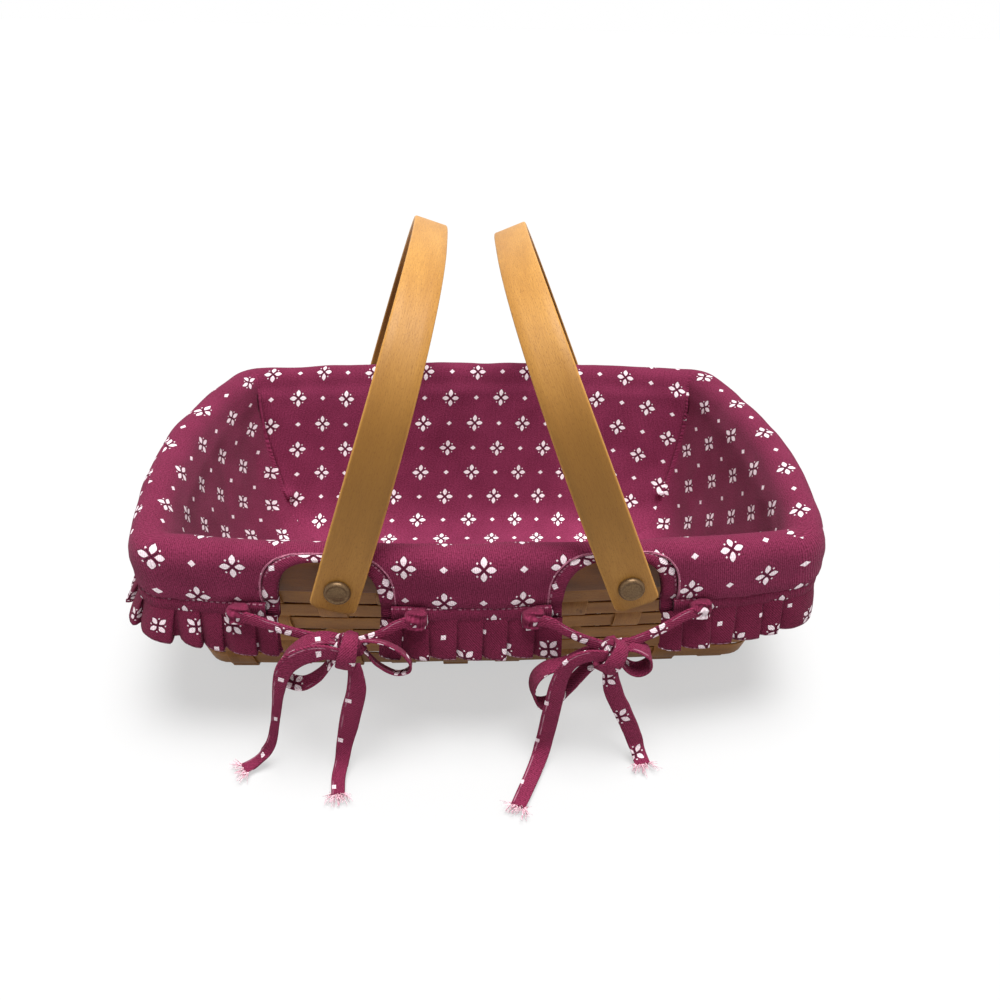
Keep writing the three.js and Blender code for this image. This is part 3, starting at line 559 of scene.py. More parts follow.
# Widths are shares of the tie's width, and start is where the tail lies on the print
tails = {
    "left_1": {
        "route": [
            (-0.066, -0.14135, 0.070), (-0.0745, -0.1415, 0.0718), (-0.083, -0.142, 0.070),
            (-0.090, -0.142, 0.065), (-0.094, -0.142, 0.0575), (-0.0965, -0.142, 0.048),
            (-0.0985, -0.142, 0.038), (-0.101, -0.142, 0.026), (-0.104, -0.1423, 0.015),
            (-0.1085, -0.143, 0.0075), (-0.113, -0.1447, 0.0038), (-0.1175, -0.148, 0.0034),
        ],
        "widths": [0.8, 1.15, 1.1, 0.8, 0.58, 0.5, 0.55, 0.7, 0.8], "start": (0.0, 0.003),
    },
    "left_2": {
        "route": [
            (-0.0605, -0.14135, 0.064), (-0.060, -0.1416, 0.0565), (-0.0605, -0.1424, 0.048),
            (-0.0635, -0.1428, 0.036), (-0.066, -0.1432, 0.025), (-0.0685, -0.144, 0.0145),
            (-0.070, -0.1475, 0.0065), (-0.071, -0.154, 0.0035), (-0.070, -0.1645, 0.0034),
        ],
        "widths": [0.7, 1.05, 1.15, 1.1, 0.9, 0.8, 0.75], "start": (-0.0025, 0.0166),
    },
    "right_1": {
        "route": [
            (0.056, -0.14135, 0.0665), (0.048, -0.1415, 0.067), (0.041, -0.142, 0.0645),
            (0.0365, -0.142, 0.0585), (0.0342, -0.142, 0.050), (0.033, -0.142, 0.041),
            (0.0316, -0.142, 0.030), (0.0303, -0.142, 0.019), (0.0287, -0.1428, 0.0095),
            (0.0265, -0.147, 0.0046), (0.0225, -0.156, 0.0034), (0.0145, -0.1735, 0.0034),
        ],
        "widths": [0.75, 0.85, 1.0, 1.05, 1.0, 0.9, 0.85], "start": (0.022, 0.02),
    },
    "right_2": {
        "route": [
            (0.058, -0.14135, 0.059), (0.0592, -0.1416, 0.0515), (0.0617, -0.142, 0.0425),
            (0.0655, -0.1422, 0.034), (0.069, -0.1424, 0.026), (0.0725, -0.1428, 0.0175),
            (0.0755, -0.1435, 0.0093), (0.0772, -0.146, 0.0042), (0.078, -0.151, 0.0034),
        ],
        "widths": [0.8, 1.05, 1.05, 1.0, 0.95, 0.9], "start": (0.0103, -0.0055),
    },
}
# The back's ties are the front's, turned round
turns = {"front": np.eye(3), "back": np.diag([-1.0, -1.0, 1.0])}
backOf = {"left": "right", "right": "left"}


def placeName(end, side):
    return f"{end}_{side if end == 'front' else backOf[side]}"


# A folded strip of cotton along a line, flat across the given directions
def addRibbon(name, line, across, widths, thickness, start, closed=False):
    run = unit(np.roll(line, -1, axis=0) - np.roll(line, 1, axis=0) if closed else np.gradient(line, axis=0))
    side = unit(across - run * (across * run).sum(1, keepdims=True))
    out = np.cross(run, side)
    angles = np.linspace(0, 2 * np.pi, 16, endpoint=False)
    sectionX = rounded(np.cos(angles), tie["roundness"][0])
    sectionY = rounded(np.sin(angles), tie["roundness"][1])
    grid = (line[:, None] + side[:, None] * sectionX[None, :, None] * widths[:, None, None] / 2
            + out[:, None] * sectionY[None, :, None] * thickness / 2)
    grid = grid + tie["crumple"] * rough(grid, 0.006, start[0] * 90)[..., None] * np.array([0.4, 1, 0.4])
    sectionX = np.append(sectionX, sectionX[0])
    under = (np.arange(17) > 8) * 0.013  # the underside shows another part of the print
    u, v = np.broadcast_arrays(start[0] + sectionX * 0.5 * float(np.mean(widths)) + under,
                               start[1] + runLength(line)[:, None])
    flat = np.stack([(u - v) * tie["bias"], (u + v) * tie["bias"]], axis=-1)
    if closed:
        grid = np.concatenate([grid, grid[:1]])
        flat = np.concatenate([flat, flat[-1:] + [0, 0.004]])
    strip = paired(sectionX[None], flat[:, :1, 0] + flat[:, :1, 1])
    return addTube(name, grid, flat, strip, tieCloth, closed)


# Loose threads that fan out of a cut end
fray = {"threads": 64, "shortest": 0.0028, "longest": 0.0062, "root": 0.00026, "tip": 0.00012, "bend": 0.0011}


def addFray(name, end, direction, across, width, turned):
    rng = np.random.default_rng(int(abs(end[0]) * 1e5))
    points, faces = [], []
    direction = unit(direction)
    for _ in range(fray["threads"]):
        place = rng.uniform(-0.5, 0.5)
        fan = place * 1.5 + rng.normal(0, 0.25)
        heading = direction * math.cos(fan) + across * math.sin(fan) + np.array([0, 0, rng.normal(0.1, 0.3)])
        heading = unit(heading)
        long = rng.uniform(fray["shortest"], fray["longest"])
        start = end + across * place * width * 0.95 - direction * 0.0012
        bend = np.array([rng.normal(0, 1), rng.normal(0, 1), rng.normal(0, 0.6)]) * fray["bend"]
        faces += (gridFaces(5, 4, True) + len(points)).tolist()
        for t in np.linspace(0, 1, 5):
            middle = start + heading * long * t + bend * t * t
            middle[2] = max(middle[2], 0.0004)
            thick = mix(fray["root"], fray["tip"], t)
            for angle in np.arange(4) * math.pi / 2:
                outward = math.cos(angle) * np.array([0, 0, 1]) + math.sin(angle) * across
                points.append(middle + thick * outward)
    return addMesh(name, np.array(points) @ turned.T, faces, None, frayedThread)


def makeTail(end, key, turned):
    tail = tails[key]
    line = smoothLine(tail["route"], 90)
    side, number = key.split("_")
    name = f"{placeName(end, side)}_{number}"
    share = np.linspace(0, 1, len(line))
    widths = tie["width"] * np.interp(share, np.linspace(0, 1, len(tail["widths"])), tail["widths"])
    run = unit(np.gradient(line, axis=0))
    # The strip faces outward where it hangs and upward where it lies
    lying = smooth(line[:, 2], 0.016, 0.004)[:, None]
    facing = mix(np.array([0.0, -1.0, 0.0]), np.array([0.0, 0.0, 1.0]), lying)
    across = unit(np.cross(run, facing))
    path = line @ turned.T
    strip = addRibbon(f"tie_{name}", path, across @ turned.T, widths, tie["thickness"], tail["start"])
    threads = addFray(f"fray_{name}", line[-1], run[-1], across[-1], widths[-1], turned)
    for piece in (strip, threads):
        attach(piece, "basket")
    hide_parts(f"tie_tail_{name}")


for end, turned in turns.items():
    for key in tails:
        makeTail(end, key, turned)
print("ties")

# Liner: one cotton sheet over the floor, up the walls, over the rim and down outside
lining = {
    # Offset from the wall's middle, height
    "profile": [
        (-0.0340, 0.0058), (-0.0250, 0.0067), (-0.0175, 0.0100), (-0.0130, 0.0160), (-0.0108, 0.0270),
        (-0.0106, 0.050), (-0.0119, 0.074), (-0.0127, 0.088), (-0.0124, 0.0975), (-0.0106, 0.1033),
        (-0.0066, 0.1072), (-0.0014, 0.1084), (0.0030, 0.1070), (0.0054, 0.1032), (0.0060, 0.0975),
        (0.0060, 0.090), (0.0062, 0.0842), (0.0048, 0.0805),
    ],
    "thickness": 0.0007,
    "puff": 0.0021, "puffRun": 0.026,  # how far the skirt stands out between the arches
    "hemRise": 0.0040, "hemRisePlace": 0.215, "hemRiseReach": 0.062,  # its hem rises towards the right end
    "endRun": (0.110, 0.165),  # from the front's or back's middle, where a side turns into an end
    "columnGap": 0.0026,
    "slackLeast": 0.0126,  # further in than this, a ring is drawn in towards the middle
}
# Arches that the liner leaves free for the handles' feet
arch = {
    "names": ["front_right", "back_right", "back_left", "front_left"],
    "halfSpan": 0.0668, "linerOffset": 0.0062,  # the liner lies a little off centre
    "halfWidth": 0.024, "top": 0.1015,
    "facing": 0.0072, "facingThickness": 0.0006, "cordRadius": 0.00062,
    "innerSquareness": 3.2, "outerSquareness": 3.4,
}
profileLine = smoothLine(lining["profile"], 600)
profileSteps = runLength(profileLine)
profileRun = unit(np.gradient(profileLine, axis=0))
profileEnd = profileSteps[-1]
crestRow = int(np.argmax(profileLine[:, 1]))
crest = profileSteps[crestRow]


# Offset, height and their changes at a step along the liner's profile
def profileAt(step):
    return [np.interp(step, profileSteps, column) for column in (*profileLine.T, *profileRun.T)]


def outerStepAt(z):
    outer = profileSteps > crest
    return float(np.interp(-z, -profileLine[outer, 1], profileSteps[outer]))


archTopStep = outerStepAt(arch["top"])
facedHalfWidth = arch["halfWidth"] + arch["facing"]
archRight, archLeft = (wall["rimSideRadius"] * math.asin((span - arch["linerOffset"]) / wall["rimSideRadius"])
                       for span in (arch["halfSpan"], -arch["halfSpan"]))
archMiddles = [archRight, halfLoop - archRight, halfLoop - archLeft, rimLength + archLeft]


# Signed distance to the nearest arch's middle
def toArch(distance):
    apart = np.stack([fromFront(np.asarray(distance) - middle) for middle in archMiddles])
    return np.take_along_axis(apart, np.abs(apart).argmin(0)[None], 0)[0]


def puffAt(distance):
    away = np.abs(toArch(distance))
    return lining["puff"] * smooth(away, facedHalfWidth, facedHalfWidth + lining["puffRun"])


def hemRise(distance):
    return lining["hemRise"] * hill(fromFront(distance) - lining["hemRisePlace"], lining["hemRiseReach"])


# Share of an end, one at the left and right ends and nought along the sides
def endShare(distance):
    away = np.abs(fromFront(distance))
    return smooth(away, *lining["endRun"]) * smooth(halfLoop - away, *lining["endRun"])


def wrinkles(distance, step):
    flat = paired(distance, step)
    gather = smooth(step, profileEnd - 0.016, profileEnd - 0.001)
    return (0.0011 * rough(flat, 0.042, 3.1) + 0.0006 * rough(flat, 0.018, 7.7)
            + gather * 0.00065 * rough(flat * np.array([1.0, 0.18]), 0.0052, 1.3))


# A point of the liner's surface, lifted towards its visible side
def onLiner(distance, step, lift=0.0, wrinkled=True):
    distance, step, lift = np.broadcast_arrays(distance, step, lift)
    offset, z, runOffset, runZ = profileAt(step)
    out = lift + (wrinkles(distance, step) if wrinkled else 0.0)
    offset = offset + smooth(step, crest - 0.004, crest + 0.018) * puffAt(distance) - runZ * out
    z = z + runOffset * out + hemRise(distance) * smooth(step, crest + 0.008, profileEnd)
    return onWall(rimArcs, stopsAt(distance), offset, z)


# Columns round the liner: evenly spaced, with more of them at the sides of each arch and at corners
def linerColumns():
    beside = np.array([0.0004, 0.0009, 0.0016, 0.0026, 0.004, 0.006])
    beside = np.concatenate([-beside[::-1], [0], beside])
    marks = [rimStarts[:-1]] + [rimStarts[i] + beside for i in (1, 4, 5, 8)]
    shares = np.concatenate([[-1.0, -0.9995, -0.997, -0.99, -0.975, -0.95, -0.91], np.linspace(-0.86, 0, 12)])
    shares = np.unique(np.concatenate([shares, -shares]))
    marks += [(middle + facedHalfWidth * shares) % rimLength for middle in archMiddles]
    marks = np.unique(np.concatenate(marks).round(7))
    columns = []
    for start, stop in zip(marks, np.append(marks[1:], rimLength)):
        count = max(math.ceil((stop - start) / lining["columnGap"]), 1)
        columns.extend(np.linspace(start, stop, count, endpoint=False))
    return np.array(columns)


# A ring of the lining inside the basket. Where the profile stands far from the wall the ring is drawn
# in towards the middle, and the slack draws it in further, most at the ends and in the corners.
cornerMiddles = (rimStarts[cornerArcs] + rimStarts[np.array(cornerArcs) + 1]) / 2
slack = {
    "from": 0.088, "over": 0.082, "power": 1.25,  # it grows downwards from this height
    "halfSize": (0.142, 0.0635), "short": (0.085, 0.015),  # along the length and across
    "corner": 0.0075, "cornerReach": 0.026,
}


def insideRing(columns, step, out):
    offset, z, runOffset, runZ = profileAt(step)
    offset = offset - runZ * out
    safe = np.maximum(offset, -lining["slackLeast"])
    ring = onWall(wallArcs(min(z, wall["rimHeight"])), stopsAt(columns), safe, z + runOffset * out)
    rest = safe - offset
    fall = float(np.clip((slack["from"] - z) / slack["over"], 0, 1)) ** slack["power"]
    for axis in (0, 1):
        ring[:, axis] *= 1 - rest / slack["halfSize"][axis] - slack["short"][axis] * fall
    away = np.min(np.abs(fromFront(columns[:, None] - cornerMiddles[None])), axis=1)
    drawn = slack["corner"] * fall * hill(away, slack["cornerReach"])
    ring[:, :2] -= np.sign(ring[:, :2]) * drawn[:, None] * 0.71
    return mix(ring, onLiner(columns, np.full(len(columns), step)), float(smooth(z, 0.094, 0.1035)))


# The liner's rings from the floor's middle to the hem, their steps along the profile, and the rows
# where the wall and the skirt start
def linerRings(columns):
    seams = np.min(np.abs(columns[:, None] - rimStarts[[1, 4, 5, 8]][None]), axis=1)
    grid, steps = [], []
    for step in np.concatenate([np.linspace(0, 0.03, 20), np.linspace(0.03, crest, 52)[1:]]):
        steps.append(np.full(len(columns), step))
        deep = smooth(step, 0.030, 0.045) * (1 - smooth(step, crest - 0.02, crest - 0.002))
        seam = 0.0011 * hill(seams, 0.009) - 0.0018 * hill(seams, 0.0011)
        tuck = 0.0030 * hill(step - 0.040, 0.004) * hill(seams, 0.006)
        out = wrinkles(columns, steps[-1]) * smooth(step, 0.0, 0.02) + deep * seam + tuck
        grid.append(insideRing(columns, step, out))
    floor = []
    for share in np.linspace(0.0, 1.0, 14)[:-1]:
        ring = grid[0] * np.array([share, share, 1.0])
        ring[:, 2] += 0.0006 * np.abs(rough(ring, 0.03, 2.0)) * (1 - share) * 4 * share
        floor.append(ring)
    skirt = len(floor) + len(grid)
    beside = np.clip(np.abs(toArch(columns)) / facedHalfWidth, 0, 1) ** arch["outerSquareness"]
    skirtEnd = mix(profileEnd, archTopStep - arch["facing"], (1 - beside) ** (1 / arch["outerSquareness"]))
    for share in np.linspace(0, 1, 30)[1:]:
        steps.append(np.minimum(mix(crest, profileEnd, share), skirtEnd))
        grid.append(onLiner(columns, steps[-1]))
    steps = [np.full(len(columns), -1.0)] * len(floor) + steps
    return np.array(floor + grid), np.array(steps), len(floor), skirt


# How the print lies on the liner. Each panel's is shifted and bent as the pulled cloth is.
lay = {
    "backRowHeight": 0.090, "frontRowHeight": 0.1030,  # where a row of flowers stands
    "shear": 0.07, "shift": 0.0179, "drop": 0.0005,
    "rightEnd": {"stretch": (0.84, 1.07), "shift": (-0.0031, -0.0053)},
    # Shares of 1, y, up, y times y, y times up and up times up
    "leftEnd": ((0.00145, 0.895, -0.074, -1.53, -1.96, -6.75), (0.0039, 0.104, 1.11, 0.16, 0.44, 2.38)),
    "endFoot": 0.2,
}


# The back, the floor and the front. The print sags towards the right-hand seam.
def panelPrint(x, v):
    u = x - lay["shear"] * v + lay["shift"]
    pull = 0.75 * smooth(x, -0.01, 0.10) * (0.0077 - 0.09 * np.clip(v - 0.013, -0.1, 0.02))
    u = u + pull - 0.0045 * smooth(-x, 0.08, 0.125)
    sag = 0.009 * np.clip((x - 0.085) / 0.056, 0, 1.2) ** 1.5 - 0.0022 * smooth(-x, 0.07, 0.12)
    return np.stack([u, v + sag - lay["drop"] - 0.31 * np.clip(0.018 - v, 0, 0.12) ** 2], axis=-1)


# The outside, from the front's middle to a joint at the back's middle
def outsidePrint(signed, v):
    left = (signed < 0) * 1.0
    bend = (left * 0.6 * np.clip(-signed - 0.07, 0, 0.1) ** 2
            + (1 - left) * 1.4 * np.clip(signed - 0.06, 0, 0.1) ** 2)
    moved = 0.0055 * smooth(-signed, 0.05, 0.08) - 0.0075 * smooth(signed, 0.04, 0.07)
    return np.stack([signed + 0.0008 + moved, v - bend + 0.003 * smooth(-signed, 0.06, 0.09)], axis=-1)


# The left end's cloth is pulled askew
def leftPrint(y, up):
    rest, beyond = up - np.clip(up, -0.06, 0.036), y - np.clip(y, -0.085, 0.085)
    y, up = y - beyond, up - rest
    u, v = (sum(share * term for share, term in zip(shares, (1, y, up, y * y, y * up, up * up)))
            for shares in lay["leftEnd"])
    return np.stack([u + lay["leftEnd"][0][1] * beyond, v + rest], axis=-1)


def rightPrint(y, up):
    return np.stack([s * value + m for s, value, m in zip(lay["rightEnd"]["stretch"], (y, up),
                                                          lay["rightEnd"]["shift"])], axis=-1)


# Each face's corners on the flat cloth, and the share of painted light at them
def linerCorners(columns, grid, steps, first):
    grown, rows = {}, {}
    stepsAll = np.concatenate([steps, steps[:, :1]], axis=1)
    x, y = np.moveaxis(np.concatenate([grid, grid[:, :1]], axis=1)[..., :2], -1, 0)
    along = np.broadcast_to(np.append(columns, rimLength), x.shape)
    inner = slice(200, crestRow)
    backStep = float(np.interp(lay["backRowHeight"], profileLine[inner, 1], profileSteps[inner]))
    rowSteps = {"back": backStep, "front": outerStepAt(lay["frontRowHeight"]), "ends": 0.0}
    # Cloth lengths up each panel's middle, from the floor's edge
    for key, place, axis in (("front", 0, 1), ("back", halfLoop, 1), ("ends", rimLength / 4, 0)):
        column = int(np.abs(columns - place).argmin())
        length, reached = runLength(grid[first:, column]), steps[first:, column]
        edge = float(np.abs(grid[first, column, axis]))
        grown[key] = edge + np.interp(stepsAll, reached, length)
        rows[key] = edge + float(np.interp(rowSteps[key], reached, length))
    outside = rows["front"] - grown["front"]
    up = grown["ends"] - lay["endFoot"]
    prints = {
        "outside": outsidePrint(along, outside),
        "outsideLeft": outsidePrint(along - rimLength, outside),
        "back": panelPrint(x, grown["back"] - rows["back"]),
        "front": panelPrint(x, -grown["front"] - rows["back"]),
        "floor": panelPrint(x, y - rows["back"]),
        "ends": np.where(x[..., None] > 0, rightPrint(y, up), leftPrint(y, up)),
    }
    shape = (grid.shape[0] - 1, len(columns), 4, 2)
    made = {key: gridCorners(value).reshape(shape) for key, value in prints.items()}
    between = (columns + np.append(columns[1:], rimLength)) / 2
    arcOf = stopsAt(between)[0]
    corners = np.empty(shape)
    for row in range(shape[0]):
        reach = steps[row].max()
        for kind, arcs, last in (("back", [4], crest + 0.010), ("ends", endArcs + cornerArcs, crest + 0.003),
                                 ("front", [0, 8], crest - 0.012)):
            chosen = np.isin(arcOf, arcs)
            use = "floor" if row < first else (kind if reach < last else "outside")
            corners[row, chosen] = made[use][row, chosen]
            if use == "outside":
                chosen = chosen & (between > halfLoop)
                corners[row, chosen] = made["outsideLeft"][row, chosen]
    # Painted light: the inside is painted paler, less so at the ends, and the outside a little paler except
    # near the front's middle, which keeps the darker painted shade
    inside = 1 - smooth(stepsAll, crest - 0.03, crest - 0.004)
    sides = (0.25 * smooth(stepsAll, crest + 0.004, crest + 0.02)
             * smooth(halfLoop - np.abs(along - halfLoop), 0.07, 0.12))
    tone = np.stack([inside * mix(1.0, 0.45, endShare(along)) + sides, along], axis=-1)
    return corners.reshape(-1, 4, 2), gridCorners(tone).reshape(-1, 4, 2)


def makeLiner():
    columns = linerColumns()
    grid, steps, first, skirt = linerRings(columns)
    # Rows that reach an arch end on its edge
    home = np.arange(steps.size).reshape(steps.shape)
    for row in range(skirt, len(steps)):
        home[row] = np.where(np.isclose(steps[row], steps[row - 1], atol=1e-7), home[row - 1], home[row])
    faces, flats, paintedLightCorners = [], [], []
    for face, flat, tone in zip(home.ravel()[gridFaces(*steps.shape, True)].tolist(),
                                *linerCorners(columns, grid, steps, first)):
        kept = [k for k in range(4) if face[k] != face[k - 1]]
        if len(kept) > 2:
            faces.append([face[k] for k in kept])
            flats.append(flat[kept])
            paintedLightCorners.append(tone[kept])
    used, places = np.unique(np.concatenate(faces), return_inverse=True)
    faces = [part.tolist() for part in np.split(places, np.cumsum([len(face) for face in faces])[:-1])]
    piece = addMesh("liner", grid.reshape(-1, 3)[used], faces, np.concatenate(flats), linerCloth,
                    np.concatenate(paintedLightCorners))
    addThickness(piece, lining["thickness"])
    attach(piece, "basket")
    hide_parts("liner_tub", "liner_skirt")
    return piece


liner = makeLiner()
print("liner", len(liner.data.polygons))


# A line round an arch, as distances along the rim and steps along the profile
def archLine(middle, halfWidth, top, squareness, bottom):
    theta = np.linspace(0, np.pi, 90)
    along = -rounded(np.cos(theta), 2 / squareness) * halfWidth
    return along + middle, mix(bottom, top, np.abs(np.sin(theta)) ** (2 / squareness))


# Facing: the turned band inside each arch, given as [share of its width, how far it stands out]
facingSection = [(-0.02, -0.0032), (0.0, -0.0018), (0.03, -0.0007), (0.12, -0.0002), (0.35, 0.0001),
                 (0.6, 0.0), (0.82, -0.0003), (0.97, -0.0008)]
facingTail = 0.0072  # how far it runs on below the skirt


def makeFacing(index, name):
    middle, top = archMiddles[index], archTopStep
    inner = archLine(middle, arch["halfWidth"], top - 0.003, arch["innerSquareness"], profileEnd + facingTail)
    outer = archLine(middle, facedHalfWidth + 0.0006, top - arch["facing"] - 0.0006, arch["outerSquareness"],
                     profileEnd + facingTail)
    rows = []
    for share, lift in facingSection:
        along, step = (mix(a, b, share) for a, b in zip(inner, outer))
        past = np.clip(step - profileEnd, 0, None)
        row = onLiner(along, np.minimum(step, profileEnd), lift + 0.0004 + 0.28 * past, wrinkled=False)
        row[:, 2] -= past
        rows.append(row)
    grid = np.array(rows)
    strip = paired(np.linspace(-1, 1, len(rows))[:, None], np.linspace(0, 0.11, grid.shape[1])[None])
    shares = np.array([share for share, _ in facingSection])[:, None]
    flat = paired(runLength(grid[3])[None] + 0.009 * index, shares * arch["facing"] - 0.0052)
    band = addGrid(f"facing_{name}", grid, flat, strip, seamCloth)
    addThickness(band, arch["facingThickness"])
    # Corded edge, where the facing meets the skirt, in the paler cotton that paints its highlight
    along, step = archLine(middle, facedHalfWidth, top - arch["facing"], arch["outerSquareness"], profileEnd)
    line = onLiner(along, step, 0.00025)
    lifted = unit(onLiner(along, step, 0.00125) - line)
    side = np.cross(unit(np.gradient(line, axis=0)), lifted)
    cord = np.stack([line + arch["cordRadius"] * (np.cos(angle) * lifted + np.sin(angle) * side)
                     for angle in 2 * np.pi * np.arange(8) / 8], axis=1)
    cordFlat = paired(0.009 + np.arange(9)[None] * 0.0005, runLength(line)[:, None])
    edge = addGrid(f"arch_edge_{name}", cord, cordFlat, None, highlitEdgeCloth, closed=True)
    for piece in (band, edge):
        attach(piece, "basket")


for index, name in enumerate(arch["names"]):
    makeFacing(index, name)

# Casing: the gathered band that the ties run through
casing = {
    # Offset from the wall's middle, height
    "profile": [(0.0060, 0.0814), (0.0076, 0.0809), (0.0084, 0.0794), (0.0087, 0.0770), (0.0085, 0.0750),
                (0.0078, 0.0736), (0.0062, 0.0731)],
    "inset": 0.0054, "columnGap": 0.0016, "pucker": 0.0006, "sway": 0.0003,
}


def makeCasing(name, start, stop):
    inset = casing["inset"]
    count = int((stop - start - 2 * inset) / casing["columnGap"])
    distance = np.linspace(start + inset, stop - inset, count)
    line = smoothLine(casing["profile"], 15)
    long = runLength(line)
    slow = rough(paired(distance, 0.1), 0.03, 9.0)
    rows = []
    for (offset, z), step in zip(line, long):
        pucker = rough(paired(distance, z * 0.25), 0.0048, 5.0)
        lift = math.sin(math.pi * step / long[-1]) * (casing["pucker"] * pucker + casing["sway"] * slow)
        level = z + casing["sway"] * slow + hemRise(distance)
        rows.append(onWall(rimArcs, stopsAt(distance), offset + lift, level))
    strip = paired(np.linspace(-1, 1, len(line))[:, None], distance[None])
    flat = paired(distance[None], -long[:, None] - 0.026)
    piece = addGrid(f"casing_band_{name}", np.array(rows), flat, strip, seamCloth)
    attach(piece, "basket")
    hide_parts(f"casing_{name}")


# Ruffle: pleated cotton that hangs from the casing
ruffle = {
    # One pleat's path: share of the pitch, how far it stands out
    "pleat": [(0.0, 0.06), (0.14, 0.42), (0.34, 0.74), (0.60, 0.93), (0.82, 1.0), (0.955, 0.97), (0.99, 0.78),
              (0.965, 0.42), (0.93, 0.12)],
    "pitch": 0.0127, "top": 0.0752, "height": 0.0216, "offset": 0.0078,
    "depth": (0.0005, 0.0036),  # of the pleats, at the casing and at the hem
    "unevenness": 0.11, "sway": 0.0009, "hemDrop": 0.0005,
    "leftLift": 0.0042,  # its hem rises along the left end
    "turn": math.radians(50),  # of the print
}


def makeRuffle(name, start, stop):
    pleats = round((stop - start) / ruffle["pitch"])
    rng = np.random.default_rng(len(name) * 11 + pleats)
    edges = np.linspace(0, 1, pleats + 1)
    edges[1:-1] += rng.normal(0, ruffle["unevenness"] / pleats, pleats - 1)
    path = []
    for pleat in range(pleats):
        depth = rng.uniform(0.85, 1.15)
        rng.normal(0, 1, len(ruffle["pleat"]))  # not used, but the draws after these stay the same
        for share, out in ruffle["pleat"]:
            path.append((edges[pleat] + share * (edges[pleat + 1] - edges[pleat]), out * depth, pleat))
    path = np.array([*path, (1.0, 0.06, pleats)])
    fine = np.array([mix(a, b, k / 3) for a, b in zip(path, path[1:]) for k in range(3)] + [path[-1]])
    distance, out, pleat = mix(start, stop, fine[:, 0]), fine[:, 1], fine[:, 2]
    sway = rng.normal(0, ruffle["sway"], pleats + 2)[pleat.astype(int)]
    hemDrop = np.interp(pleat, np.arange(pleats + 2), rng.normal(0, ruffle["hemDrop"], pleats + 2))
    # The hem is turned under, so the last three rows go back up inside
    rowShares = np.concatenate([np.linspace(0, 1, 15), [1.004, 0.996, 0.90]])
    sunken = np.concatenate([np.zeros(15), [0.0005, 0.001, 0.001]])
    atEnd = endShare(distance)
    leftEnd = atEnd * (distance % rimLength > halfLoop)
    endDepth = 1 + 0.5 * atEnd + 0.5 * leftEnd
    away = rimLength - distance % rimLength
    leftLift = ruffle["leftLift"] * smooth(away, 0.115, 0.165) * (1 - smooth(away, 0.26, 0.33))
    rows = []
    for share, sunk in zip(rowShares, sunken):
        depth = mix(*ruffle["depth"], share ** 0.8) * endDepth
        flare = 0.0018 * math.sin(share * 1.35)
        offset = ruffle["offset"] + flare + out * depth - sunk - (0.0036 * atEnd - 0.0042 * leftEnd) * share
        place = distance + sway * share
        wave = 0.0003 * rough(paired(place, share * 0.02), 0.009, 4.0) * share
        fallen = ruffle["height"] * share * (1 - 0.15 * atEnd - 0.08 * leftEnd)
        z = ruffle["top"] - fallen + hemDrop * share + hemRise(place) + leftLift * share
        rows.append(onWall(rimArcs, stopsAt(place), offset + wave, z))
    grid = np.array(rows)
    cloth = runLength(grid[10])
    down = rowShares * ruffle["height"] + np.arange(len(rowShares)) * 1e-5
    across, down = np.broadcast_arrays(cloth[None], down[:, None])
    c, s = math.cos(ruffle["turn"]), math.sin(ruffle["turn"])
    flat = np.stack([across * c - down * s, across * s + down * c], axis=-1)
    strip = paired(np.minimum(rowShares, 1)[:, None], distance[None])
    piece = addGrid(f"ruffle_cloth_{name}", grid, flat, strip, ruffleCloth)
    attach(piece, "basket")
    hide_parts(f"ruffle_{name}")


# Each stretch between two arches has its own casing and ruffle
stretches = {"front": (archMiddles[3], rimLength + archMiddles[0]), "right": archMiddles[:2],
             "back": archMiddles[1:3], "left": archMiddles[2:]}
for name, (before, after) in stretches.items():
    stretch = (name, before + arch["halfWidth"], after - arch["halfWidth"])
    makeCasing(*stretch)
    makeRuffle(*stretch)
print("skirt")

